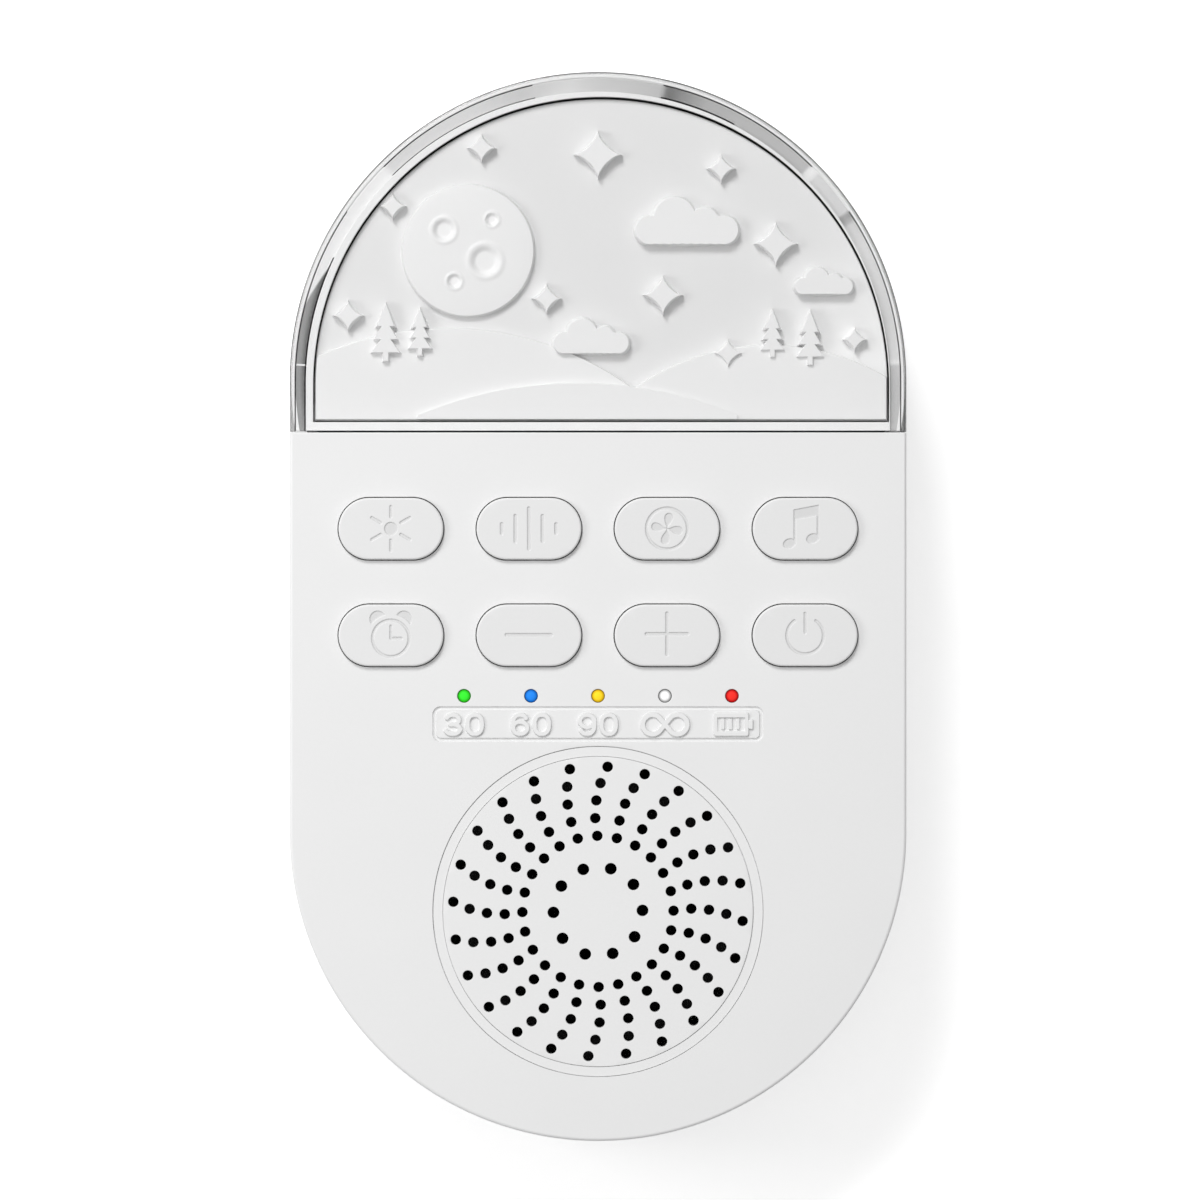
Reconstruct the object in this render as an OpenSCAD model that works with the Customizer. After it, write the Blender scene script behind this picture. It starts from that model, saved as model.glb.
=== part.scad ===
// Pocket sound machine: a stadium-shaped body that lies on its flat back, with eight push buttons,
// five indicator lamps and a speaker grille in the front, and a clear cover over a relief plate
// that works as a night light. +Z is out of the front face, +Y points to the clear cover.
// The origin is in the middle of the rear face. Millimetres.

/* [Body] */
// Width of the body across the front
body_w = 90; // [88:0.5:110]
// Length of the body from the top of the dome to the lower end
body_l = 156; // [152:1:190]
// Depth from the rear face to the front face
body_d = 28; // [27.5:0.5:34]
// Wall thickness of the front and rear housings
wall = 2; // [1.8:0.1:2.4]
// Height of the housing seam above the rear face
seam_z = 12; // [11:0.25:13]
// Rounding of the rear outer edge
rear_edge_r = 2.2; // [1.6:0.1:2.3]
// Rounding of the front housing's outer edge
front_edge_r = 0.5; // [0.3:0.1:0.8]
// Height of the locating lip above the seam
lip_h = 2; // [1.5:0.25:2.5]
// Thickness of the locating lip
lip_t = 0.9; // [0.7:0.05:1]
// Clearance between pieces that are fitted into each other
fit_gap = 0.1; // [0.05:0.05:0.2]

/* [Clear cover and relief plate] */
// Distance from the centre of the top arc down to the cover's straight edge
cover_drop = 7.6; // [6:0.2:10]
// Thickness of the clear cover's side wall
cover_wall = 2.1; // [2:0.1:2.4]
// Thickness of the clear cover's front window
window_t = 1.6; // [1.2:0.1:2]
// Thickness of the clear cover's straight base wall
cover_base_t = 1.4; // [1.2:0.1:2]
// Rounding of the clear cover's outer front edge
cover_edge_r = 0.8; // [0.4:0.1:1.2]
// Air between the window and the highest relief
window_air = 0.3; // [0.2:0.1:1]
// Height of the relief above the plate's field
relief_h = 1.6; // [0.8:0.1:2]
// Thickness of the relief plate
plate_t = 1.6; // [1.2:0.1:2.4]
// Width of the plate frame's raised rim
rim_w = 0.75; // [0.6:0.05:1.2]
// Gap between the plate and the frame's rim
plate_gap = 0.2; // [0.1:0.05:0.3]
// Width of the ledge that carries the plate
ledge_w = 3; // [2:0.25:4]
// Thickness of the ledge
ledge_t = 1; // [0.8:0.1:1.5]
// Bare margin between the relief and the plate's edge
relief_margin = 1.2; // [0.6:0.1:3]
// Thickness of the support ribs inside the rear housing
rib_t = 1.4; // [1:0.1:2]
// Distance of the frame's base ribs from the middle
base_rib_x = 26; // [18:1:32]
// Thickness of the frame's skirt
skirt_t = 1.2; // [1:0.1:1.6]
// Height of the snap tabs above the seam
tab_h = 10; // [8:0.5:11]
// Angle that the top snap tab covers
top_tab_angle = 25; // [16:1:40]
// Angle that each upper side tab covers
side_tab_angle = 11; // [8:1:16]
// Direction of the upper side tabs from the +X axis
side_tab_at = 39.5; // [34:0.5:50]
// Length of the straight part of the tabs beside the dome's foot
foot_tab_l = 4.5; // [3:0.25:6]
// Angle that a foot tab follows the dome for
foot_tab_angle = 3.2; // [2:0.1:6]

/* [Buttons] */
// Length of a button opening
button_l = 15.6; // [13:0.2:17]
// Height of a button opening
button_h = 9.3; // [8:0.1:10.5]
// Clearance between a cap and its opening
button_gap = 0.2; // [0.15:0.05:0.3]
// Distance between the button columns
column_pitch = 20.13; // [19.5:0.01:22]
// Distance between the two button rows
row_pitch = 15.54; // [14.5:0.01:17]
// Distance from the cover's straight edge to the upper row
row_drop = 14.06; // [13.5:0.01:16]
// Height of the caps above the front face
cap_rise = 0.9; // [0.6:0.1:1.2]
// Rounding of the cap's upper edge
cap_edge_r = 0.5; // [0.3:0.05:0.7]
// Wall thickness of a cap
cap_wall = 1.2; // [0.9:0.1:1.4]
// How far the flange reaches past the cap
flange_w = 1; // [0.7:0.1:1.2]
// Thickness of the flange
flange_t = 1.5; // [1:0.1:1.8]
// Air between the flange and the front wall at rest
flange_air = 0.1; // [0.05:0.05:0.2]
// Radius of the post under the cap
post_r = 2.2; // [1.9:0.1:2.6]
// Depth of the engraved symbols
symbol_depth = 0.25; // [0.15:0.05:0.4]
// Travel of a button
press_travel = 0.3; // [0.2:0.05:0.35]

/* [Switches and main board] */
// Width of a switch body
switch_w = 6; // [5:0.1:6.5]
// Height of a switch body
switch_h = 3.5; // [3:0.1:4]
// Radius of a switch plunger
plunger_r = 1.7; // [1.4:0.05:1.9]
// Height of the plunger above the switch body at rest
plunger_h = 1.5; // [1:0.1:2]
// Side clearance of the plunger in its switch
plunger_gap = 0.08; // [0.05:0.01:0.1]
// Thickness of the main board
board_t = 1.6; // [1.2:0.1:1.8]
// Distance from the front wall down to the main board's face
board_depth = 8; // [7.8:0.1:9]
// Board margin outside the outermost switch bodies
board_margin = 1.9; // [1.2:0.1:2.5]
// Board margin below the lamp spacer
board_foot = 4.8; // [3:0.1:6]
// Board margin above the upper screw bosses
board_head = 1.2; // [0.8:0.1:2]
// Radius of a board screw boss
board_boss_r = 2; // [1.8:0.1:2.3]
// Air between a button's flange and the board boss above it
board_boss_gap = 0.4; // [0.2:0.1:1]
// Distance from the lamps down to the lower board bosses
board_boss_drop = 1.5; // [1:0.1:3]
// Length of the large chip
chip_l = 10.5; // [8:0.5:11]
// Width of the large chip
chip_w = 6.2; // [5:0.1:7]
// Distance of the large chip from the middle
chip_x = 20; // [18:0.5:22]
// Length of the small chips
small_chip_l = 5; // [4:0.1:6]
// Width of the outer small chip
outer_chip_w = 4.4; // [4:0.1:5]
// Width of the inner small chip
inner_chip_w = 4; // [3.5:0.1:5]
// Distance of the outer small chip from the middle
outer_chip_x = 21; // [19:0.5:22]
// Distance of the inner small chip from the middle
inner_chip_x = 10; // [8:0.5:12]
// Height of the chips
chip_h = 1.6; // [1:0.1:2]
// Radius of the capacitors
capacitor_r = 2; // [1.5:0.1:2.5]
// Height of the capacitors
capacitor_h = 5.2; // [4:0.1:6]
// Distance of the left capacitor from the middle
left_capacitor_x = 10; // [8:0.5:12]
// Distance of the right capacitor from the middle
right_capacitor_x = 29; // [26:0.5:31]
// Radius of the small screws' shanks
small_screw_r = 0.95; // [0.8:0.05:1]
// Radius of the small screws' heads
small_head_r = 1.8; // [1.6:0.1:2]
// Height of the small screws' heads
small_head_h = 1.2; // [1:0.1:1.5]
// Length of the small screws below their heads
small_screw_l = 6; // [5:0.5:7]

/* [Indicator lamps and time scale] */
// Distance between the indicator lamps
lamp_pitch = 9.77; // [8.5:0.01:10.5]
// Distance from the lower button row to the lamps
lamp_drop = 8.84; // [8:0.01:11]
// Radius of a lamp lens
lamp_r = 0.93; // [0.8:0.01:1.2]
// Clearance between a lens and its window
lamp_gap = 0.07; // [0.05:0.01:0.15]
// Height of the rounded lamp tip
lamp_dome_h = 0.35; // [0.2:0.05:0.6]
// Height of the lamp tips above the front face
lamp_rise = 0.1; // [0:0.05:0.3]
// Width of the collar at the foot of a lamp
lamp_collar_w = 0.4; // [0.3:0.05:0.6]
// Height of the spacer under the lamps
spacer_h = 3; // [2:0.25:4]
// Width of the spacer
spacer_w = 4.4; // [4:0.1:5]
// Distance between a lamp's two leads
lead_pitch = 1.4; // [1.27:0.01:1.6]
// Thickness of a lead
lead_w = 0.45; // [0.4:0.05:0.5]
// Width of the time scale's recess
scale_w = 48.3; // [44:0.1:52]
// Height of the time scale's recess
scale_h = 5.25; // [4.5:0.05:6]
// Corner rounding of the recess
scale_r = 1.2; // [0.6:0.1:2]
// Depth of the recess
scale_depth = 0.25; // [0.15:0.05:0.4]
// Distance from the lamps to the middle of the recess
scale_drop = 4.13; // [4:0.01:5]

/* [Speaker and grille] */
// Distance from the lower end of the body to the middle of the grille
grille_from_end = 33.5; // [32:0.5:38]
// Radius of the speaker's frame
speaker_r = 20; // [18:0.5:20.5]
// Overall depth of the speaker
speaker_d = 17; // [15.5:0.5:18]
// Thickness of the speaker's sheet metal
speaker_sheet = 0.8; // [0.6:0.1:1]
// Radius of the speaker magnet
magnet_r = 10; // [8:0.5:11]
// Thickness of the magnet
magnet_h = 4.4; // [3.5:0.1:5]
// Thickness of the magnet's steel plates
steel_t = 1.6; // [1.2:0.1:2]
// Radius of the voice coil
coil_r = 4; // [3.5:0.1:4.5]
// Width of the seat at the front of the speaker's basket
seat_w = 3; // [2.5:0.1:3.5]
// Width of the rubber surround between the cone and the seat
surround_w = 2.4; // [2:0.1:3]
// Height of the cone's foot above the basket's back
cone_rise = 2.6; // [2.2:0.1:3]
// Thickness of the cone's paper
cone_paper = 0.35; // [0.3:0.05:0.5]
// Radius of the dust cap
dust_cap_r = 5.2; // [4.6:0.1:6]
// Radius of the sphere that the dust cap is part of
dust_dome_r = 8; // [7:0.5:10]
// Gap between the voice coil's centre hole and the basket
coil_gap = 0.8; // [0.6:0.1:1]
// Height of the web of the centring disc above the basket's back
web_rise = 1.7; // [1.5:0.1:2]
// Thickness of the foam gasket in front of the speaker
gasket_t = 0.8; // [0.5:0.1:1.2]
// Thickness of the collar round the speaker
collar_t = 1.2; // [1:0.1:1.5]
// Height of the collar round the speaker
collar_h = 4; // [2.5:0.5:5]
// Radius of the speaker screws' heads
speaker_head_r = 3.2; // [3:0.1:3.5]
// Distance of the speaker screws outside the speaker's frame
speaker_screw_out = 2.5; // [2.3:0.1:3]
// Radius of the speaker screws' bosses
speaker_boss_r = 2.1; // [2:0.1:2.4]
// Inner radius of the decorative groove round the grille
groove_r = 22.65; // [22:0.05:23.5]
// Width of the decorative groove
groove_w = 1.42; // [1:0.02:2]
// Depth of the decorative groove
groove_depth = 0.3; // [0.2:0.05:0.5]
// Radius of the holes along the curved arms
arm_hole_r = 0.75; // [0.6:0.05:0.85]
// Number of curved arms of holes
arm_count = 24; // [18:1:26]
// Holes along each arm
arm_holes = 5; // [3:1:5]
// Radius of the arc that each arm follows
arm_arc_r = 14.9; // [14.6:0.1:16]
// Radius of the holes in the inner ring
ring_hole_r = 0.85; // [0.6:0.05:1]
// Number of holes in the inner ring
ring_count = 10; // [6:1:14]
// Radius of the inner ring of holes
ring_r = 6.5; // [5:0.1:7.5]

/* [Battery, socket and screws] */
// Length of the battery cell
battery_l = 50; // [40:1:54]
// Width of the battery cell
battery_w = 34; // [28:0.5:36]
// Thickness of the battery cell
battery_h = 7.5; // [5:0.5:8]
// Thickness of the adhesive pad under the cell
pad_t = 0.4; // [0.2:0.1:1]
// Height of the ribs round the cell
battery_rib_h = 4; // [2:0.5:5]
// Length of each rib along the cell's sides
battery_rib_l = 8; // [5:0.5:12]
// Clearance between the cell and its ribs
battery_gap = 0.3; // [0.1:0.1:0.6]
// Distance of the cell's middle below the middle between the button rows
battery_drop = 3; // [1:0.5:4]
// Margin of the adhesive pad inside the cell's outline
pad_margin = 4; // [2:0.5:8]
// Distance of the battery plug beyond the end of the cell
plug_out = 5.5; // [5:0.1:6]
// Distance of the battery plug below the cell's middle
plug_drop = 2; // [0:0.5:5]
// Length of the battery plug
plug_l = 5.2; // [4.5:0.1:5.6]
// Width of the battery plug
plug_w = 3.8; // [3.4:0.1:4]
// Height of the battery plug
plug_h = 4.4; // [4:0.1:5]
// Distance between the battery's two wires
plug_wire_pitch = 2; // [1.6:0.1:2.4]
// Margin of the battery socket round its plug
plug_rim = 0.3; // [0.2:0.1:0.4]
// Width of the charging socket's shell
socket_w = 8.94; // [8.9:0.01:9]
// Height of the charging socket's shell
socket_h = 3.26; // [3.2:0.01:3.3]
// Length of the charging socket's shell
socket_l = 7.35; // [7:0.05:8]
// Clearance round the charging socket in the side wall
socket_gap = 0.25; // [0.15:0.05:0.4]
// How far the socket's mouth stays inside the outer face
socket_inset = 0.6; // [0.3:0.1:1]
// Radius of a housing screw's shank
screw_r = 1.25; // [1:0.05:1.4]
// Radius of a housing screw's head
screw_head_r = 2.3; // [2:0.1:2.4]
// Height of a housing screw's head
screw_head_h = 1.8; // [1.5:0.1:2.2]
// Length of a housing screw below its head
screw_l = 12; // [10:0.5:14]
// Radius of a housing screw boss
boss_r = 3.4; // [3.3:0.1:3.6]
// Depth at which the screw heads sit in the rear face
screw_sink = 7; // [5:0.5:8]
// Distance from the inner wall to a housing screw's axis
boss_inset = 3; // [2.8:0.1:3.1]

/* [Night light] */
// Radius of the night-light board
glow_board_r = 34; // [26:1:36]
// Thickness of the night-light board
glow_board_t = 1.2; // [1:0.1:1.6]
// Height of the night-light board's underside above the rear face
glow_board_z = 12; // [9:0.5:13]
// Distance of the night-light screws from the dome's centre
glow_post_r = 26; // [22:1:28]
// Radius of the arc of diodes
glow_arc_r = 19.72; // [16:0.01:21]
// Number of night-light diodes on the arc
glow_count = 7; // [5:1:9]
// Side length of a night-light diode
glow_led_w = 3.5; // [2.8:0.1:5]
// Height of a night-light diode
glow_led_h = 1.4; // [0.8:0.1:2]

/* [Wires] */
// Radius of the wires
wire_r = 0.6; // [0.4:0.05:0.7]
// Distance between the two wires of the night light
glow_wire_pitch = 3; // [2:0.1:4]
// Distance of the night light's wires from the middle
glow_wire_x = 14; // [10:0.5:18]
// How far the night light's wires reach onto each board
glow_wire_inset = 1.5; // [1:0.1:2.5]
// Slack that bends the night light's wires down
glow_wire_slack = 12; // [8:0.5:13]
// Distance between the speaker's wires at the speaker
speaker_wire_pitch = 4; // [3:0.1:5]
// Distance between the speaker's wires at the board
board_wire_pitch = 6; // [5:0.1:7]
// Slack that bends the speaker's wires down
speaker_wire_slack = 6; // [4:0.5:7]
// How far the speaker's wires reach onto the board
speaker_wire_inset = 2; // [1.5:0.1:3]

/* [Hidden] */
$fn = 64;
eps = 0.01;

r_out = body_w / 2;
r_in = r_out - wall;
arc_y = body_l / 2 - r_out;
front_in_z = body_d - wall;
lip_top = seam_z + lip_h;

cover_y = arc_y - cover_drop;
cover_r_in = r_out - cover_wall;
cover_base_y = cover_y + fit_gap + cover_base_t;
window_z = body_d - window_t;
rim_top = window_z - window_air;
field_z = rim_top - relief_h;
plate_z = field_z - plate_t;
ledge_z = plate_z - ledge_t;
frame_r = cover_r_in - fit_gap;
rim_r_in = frame_r - rim_w;
plate_r = rim_r_in - plate_gap;
plate_y = cover_base_y + plate_gap;
tab_nose = 0.3;
tab_nose_h = 1.6;
root = 0.5;
tab_r = [r_in + 0.05, r_in + lip_t - 0.05];

cap_l = button_l - 2 * button_gap;
cap_h = button_h - 2 * button_gap;
cap_top = body_d + cap_rise;
flange_z = front_in_z - flange_air - flange_t;
button_y = [cover_y - row_drop, cover_y - row_drop - row_pitch];
rows_y = (button_y[0] + button_y[1]) / 2;
function button_x(i) = (i % 4 - 1.5) * column_pitch;
function button_at(i) = [button_x(i), button_y[floor(i / 4)]];

board_top = front_in_z - board_depth;
board_z = board_top - board_t;
switch_top = board_top + switch_h;
plunger_top = switch_top + plunger_h;
plunger_z = board_top + press_travel + 0.4;
board_x = 1.5 * column_pitch + switch_w / 2 + board_margin;
lamp_y = button_y[1] - lamp_drop;
lamp_collar_z = board_top + spacer_h;
scale_y = lamp_y - scale_drop;
upper_boss_y = button_y[0] + button_h / 2 + flange_w + board_boss_gap + board_boss_r;
lower_boss_y = lamp_y - board_boss_drop;
board_lo = lamp_y - spacer_w / 2 - board_foot;
board_hi = upper_boss_y + board_boss_r + board_head;
board_bosses = [
    [-1.5 * column_pitch, upper_boss_y], [1.5 * column_pitch, upper_boss_y],
    [-board_x + board_boss_r, lower_boss_y], [board_x - board_boss_r, lower_boss_y],
    [0, rows_y]
];

speaker_y = -body_l / 2 + grille_from_end;
speaker_top = front_in_z - gasket_t;
speaker_back = speaker_top - speaker_d;
magnet_z = speaker_back + steel_t;
top_plate_z = magnet_z + magnet_h;
basket_z = top_plate_z + steel_t;
screw_ring_r = speaker_r + speaker_screw_out;
speaker_screw_angles = [30, 150, 270];

battery_y = rows_y - battery_drop;
battery_z = wall + pad_t;
socket_y = rows_y;
socket_mouth_x = r_out - socket_inset;
housing_bosses = [
    for (side = [-1, 1]) each [
        [side * (r_in - boss_inset), cover_y - wall - boss_inset],
        [side * (r_in - boss_inset), -arc_y + 6],
        [side * (r_in - boss_inset) * cos(45), -arc_y - (r_in - boss_inset) * sin(45)]
    ]
];
screw_head_z = screw_sink - screw_head_h;

glow_y = arc_y;
glow_posts = [for (a = [20, 90, 160]) [glow_post_r * cos(a), glow_y + glow_post_r * sin(a)]];
glow_top = glow_board_z + glow_board_t;

shell_white = [0.93, 0.93, 0.93];
board_green = [0.1, 0.4, 0.25];
steel_grey = [0.7, 0.71, 0.73];

// ---- Shared shapes -------------------------------------------------------------------------

// Solid with a stadium plan along Y: the half profile, x from the end arcs' centres and y upwards,
// is turned about each end and carried straight between them.
module stadium_sweep(reach) {
    for (end = [0, 1]) mirror([0, end, 0])
        translate([0, reach, 0]) rotate_extrude(angle = 180) children();
    translate([0, reach, 0]) rotate([90, 0, 0]) linear_extrude(2 * reach) {
        children();
        mirror([1, 0]) children();
    }
}

// Plan of a stadium along X with the given overall length and height.
module capsule_plan(l, h) {
    square([l - h, h], center = true);
    for (side = [-1, 1]) translate([side * (l - h) / 2, 0]) circle(h / 2);
}

// Plan of the dome's inside: everything above a straight line, within radius r.
module dome_plan(r, y0) {
    intersection() {
        union() {
            translate([0, arc_y]) circle(r);
            translate([-r, 0]) square([2 * r, arc_y]);
        }
        translate([-r, y0]) square([2 * r, arc_y + r]);
    }
}

module rounded_plan(w, h, r) {
    square([w - 2 * r, h], center = true);
    square([w, h - 2 * r], center = true);
    for (x = [-1, 1], y = [-1, 1]) translate([x * (w / 2 - r), y * (h / 2 - r)]) circle(r);
}

// Half profile of a block of radius r from z0 to z1, with its outer corner rounded at one end.
module block_profile(r, z0, z1, edge, edge_up) {
    edge_z = edge_up ? z1 - edge : z0;
    difference() {
        translate([0, z0]) square([r, z1 - z0]);
        translate([r - edge, edge_z]) difference() {
            square([edge, edge]);
            translate([0, edge_up ? 0 : edge]) circle(edge);
        }
    }
}

// Part of a ring about the top arc's centre.
module dome_arc(r0, r1, z0, z1, from, sweep) {
    translate([0, arc_y, 0]) rotate([0, 0, from]) rotate_extrude(angle = sweep)
        translate([r0, z0]) square([r1 - r0, z1 - z0]);
}

// Small screw with its head at the bottom, pointing up, the head's bearing face at z = 0.
module small_screw(head_r) {
    translate([0, 0, -small_head_h]) cylinder(r = head_r, h = small_head_h);
    translate([0, 0, -eps]) cylinder(r = small_screw_r - fit_gap / 2, h = small_screw_l + eps);
}

function bezier(p, t) =
    pow(1 - t, 3) * p[0] + 3 * t * pow(1 - t, 2) * p[1] + 3 * t * t * (1 - t) * p[2] + pow(t, 3) * p[3];
function heading(p, t) = let (
    d = pow(1 - t, 2) * (p[1] - p[0]) + 2 * t * (1 - t) * (p[2] - p[1]) + t * t * (p[3] - p[2])
) d / norm(d);

// Wire of radius r along one Bezier curve; side is a direction that the curve never points in.
module wire(p, side, r = wire_r, rings = 14, sides = 8) {
    points = [
        for (i = [0:rings]) let (
            t = i / rings,
            d = heading(p, t),
            u = cross(side, d) / norm(cross(side, d)),
            v = cross(d, u)
        ) for (k = [0:sides - 1]) bezier(p, t) + r * (cos(360 * k / sides) * u + sin(360 * k / sides) * v)
    ];
    strips = [
        for (i = [0:rings - 1], k = [0:sides - 1]) let (a = i * sides, b = a + sides, n = (k + 1) % sides)
            each [[a + k, b + k, b + n], [a + k, b + n, a + n]]
    ];
    ends = [
        [for (k = [0:sides - 1]) k],
        [for (k = [sides - 1:-1:0]) rings * sides + k]
    ];
    polyhedron(points, concat(strips, ends));
}

// ---- Housings ------------------------------------------------------------------------------

// Snap tabs that rise from the rear housing's lip between the radii r0 and r1: one at the top,
// two at the sides, and one at each foot of the dome. grow widens them into the cover's pockets.
module snap_tabs(r0, r1, grow) {
    z0 = seam_z + 1;
    top = seam_z + tab_h + grow;
    nose_z = top - 1 - tab_nose_h;
    spans = [[90, top_tab_angle], [side_tab_at, side_tab_angle], [180 - side_tab_at, side_tab_angle]];
    turn = grow * 180 / (PI * r_in);
    for (s = spans) let (from = s[0] - s[1] / 2 - turn, sweep = s[1] + 2 * turn) {
        dome_arc(r0, r1, z0, top, from, sweep);
        dome_arc(r1 - 0.2, r1 + tab_nose, nose_z - grow, nose_z + tab_nose_h, from, sweep);
    }
    for (side = [0, 1]) mirror([side, 0, 0]) {
        dome_arc(r0, r1, z0, top, 0, foot_tab_angle + turn);
        translate([r0, arc_y - foot_tab_l - grow, z0]) cube([r1 - r0, foot_tab_l + grow, top - z0]);
    }
}

module rear_housing() {
    color(shell_white) difference() {
        union() {
            stadium_sweep(arc_y) difference() {
                block_profile(r_out, 0, seam_z, rear_edge_r, false);
                translate([0, wall]) square([r_in, seam_z]);
            }
            stadium_sweep(arc_y) translate([r_in, seam_z - 1]) square([lip_t, lip_h + 1]);
            snap_tabs(tab_r[0], tab_r[1], 0);
            for (p = housing_bosses) translate([p.x, p.y, wall - root])
                cylinder(r = boss_r, h = seam_z - wall + root);
            for (p = glow_posts) translate([p.x, p.y, wall - root])
                cylinder(r = board_boss_r + 0.5, h = glow_board_z - wall + root);
            for (a = [5, 60, 120, 175]) translate([0, arc_y, 0]) rotate([0, 0, a])
                translate([r_in - ledge_w, -rib_t / 2, wall - root])
                    cube([ledge_w + root, rib_t, lip_top - wall + root]);
            for (side = [-1, 1]) translate([side * base_rib_x - rib_t / 2, cover_base_y, wall - root])
                cube([rib_t, skirt_t + 1.5, lip_top - wall + root]);
            battery_ribs();
        }
        for (p = housing_bosses) translate([p.x, p.y, 0]) {
            translate([0, 0, -1]) cylinder(r = screw_head_r + 0.3, h = screw_sink + 1);
            translate([0, 0, screw_sink - 1]) cylinder(r = screw_r + 0.15, h = seam_z + 2);
        }
        for (p = glow_posts) translate([p.x, p.y, glow_board_z + glow_board_t - small_screw_l - 0.5])
            cylinder(r = small_screw_r, h = small_screw_l + 1);
    }
}

// Corner ribs that keep the cell in place on the floor of the rear housing.
module battery_ribs() {
    reach = battery_rib_l;
    for (x = [0, 1], y = [0, 1])
        translate([0, battery_y, 0]) mirror([x, 0, 0]) mirror([0, y, 0])
            translate([battery_l / 2 + battery_gap, battery_w / 2 + battery_gap, wall - root]) {
                translate([0, rib_t - reach, 0]) cube([rib_t, reach, battery_rib_h + root]);
                translate([rib_t - reach, 0, 0]) cube([reach, rib_t, battery_rib_h + root]);
            }
}

module front_housing() {
    color(shell_white) difference() {
        union() {
            difference() {
                stadium_sweep(arc_y) difference() {
                    block_profile(r_out, seam_z, body_d, front_edge_r, true);
                    translate([0, seam_z - 1]) square([r_in, front_in_z - seam_z + 1]);
                }
                translate([-body_w, cover_y, seam_z - 1]) cube([2 * body_w, body_l, body_d]);
            }
            translate([-r_in - root, cover_y - wall, lip_top - root])
                cube([2 * (r_in + root), wall, front_in_z + 2 * root - lip_top]);
            for (p = housing_bosses) translate([p.x, p.y, seam_z])
                cylinder(r = boss_r, h = front_in_z - seam_z + root);
            for (p = board_bosses) translate([p.x, p.y, board_top])
                cylinder(r = board_boss_r, h = board_depth + root);
            translate([0, speaker_y, front_in_z - collar_h]) difference() {
                cylinder(r = speaker_r + fit_gap + collar_t, h = collar_h + root);
                translate([0, 0, -1]) cylinder(r = speaker_r + fit_gap, h = collar_h + 3);
            }
            for (a = speaker_screw_angles) translate([0, speaker_y, 0]) rotate([0, 0, a])
                translate([screw_ring_r, 0, speaker_top - speaker_sheet])
                    cylinder(r = speaker_boss_r, h = speaker_sheet + gasket_t + root);
        }
        lip_groove();
        for (p = housing_bosses) translate([p.x, p.y, seam_z - 1])
            cylinder(r = screw_r, h = screw_sink + screw_l + 2 - seam_z);
        for (p = board_bosses) translate([p.x, p.y, board_top - 1])
            cylinder(r = small_screw_r, h = small_screw_l + 1);
        for (i = [0:7]) translate([button_at(i).x, button_at(i).y, front_in_z - 1])
            linear_extrude(wall + 2) capsule_plan(button_l, button_h);
        for (i = [-2:2]) translate([i * lamp_pitch, lamp_y, front_in_z - 1])
            cylinder(r = lamp_r + lamp_gap, h = wall + 2);
        translate([0, scale_y, body_d - scale_depth]) linear_extrude(1)
            rounded_plan(scale_w, scale_h, scale_r);
        translate([0, speaker_y, 0]) grille_cuts();
        for (a = speaker_screw_angles) translate([0, speaker_y, 0]) rotate([0, 0, a])
            translate([screw_ring_r, 0, speaker_top - speaker_sheet - body_d])
                cylinder(r = speaker_head_r + 0.2, h = body_d);
        socket_cut();
    }
}

// Room for the rear housing's lip, with the fit's clearance on both sides of it.
module lip_groove() {
    stadium_sweep(arc_y) translate([r_in - 2 * fit_gap, seam_z - 1])
        square([lip_t + 3 * fit_gap, lip_h + fit_gap + 1]);
}

// Groove and sound holes: an inner ring, and curved arms whose holes lie on an arc each.
module grille_cuts() {
    arm_centre = [14, -14.5];
    step = 10;
    translate([0, 0, body_d - groove_depth]) difference() {
        cylinder(r = groove_r + groove_w, h = 1);
        translate([0, 0, -1]) cylinder(r = groove_r, h = 3);
    }
    for (i = [0:ring_count - 1]) rotate([0, 0, 1.3 + i * 360 / ring_count])
        translate([ring_r, 0, front_in_z - 1]) cylinder(r = ring_hole_r, h = wall + 2, $fn = 24);
    for (i = [0:arm_count - 1], k = [0:arm_holes - 1]) let (a = -11.5 + k * step)
        rotate([0, 0, i * 360 / arm_count])
            translate([arm_centre.x + arm_arc_r * sin(a), arm_centre.y + arm_arc_r * cos(a), front_in_z - 1])
                cylinder(r = arm_hole_r, h = wall + 2, $fn = 24);
    for (a = speaker_screw_angles) rotate([0, 0, a])
        translate([screw_ring_r, 0, speaker_top - speaker_sheet - 1])
            cylinder(r = small_screw_r, h = 1 + speaker_sheet + gasket_t + 0.9);
}

module socket_cut() {
    translate([r_in - 1, socket_y, board_top + socket_h / 2]) rotate([90, 0, 90])
        linear_extrude(wall + 2) capsule_plan(socket_w + 2 * socket_gap, socket_h + 2 * socket_gap);
}

module clear_cover() {
    y0 = cover_y + fit_gap;
    color([0.85, 0.92, 0.95, 0.35]) difference() {
        union() {
            difference() {
                stadium_sweep(arc_y) difference() {
                    block_profile(r_out, seam_z, body_d, cover_edge_r, true);
                    translate([0, seam_z - 1]) square([cover_r_in, window_z - seam_z + 1]);
                }
                translate([-body_w, y0 - body_l, seam_z - 1]) cube([2 * body_w, body_l, body_d]);
            }
            translate([-cover_r_in - root, y0, lip_top + fit_gap])
                cube([2 * (cover_r_in + root), cover_base_t, window_z + root - lip_top - fit_gap]);
        }
        stadium_sweep(arc_y) translate([cover_r_in - 1, seam_z - 1])
            square([r_in + lip_t + fit_gap - cover_r_in + 1, lip_h + fit_gap + 1]);
        snap_tabs(cover_r_in - root, tab_r[1] + fit_gap, fit_gap);
    }
}

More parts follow.
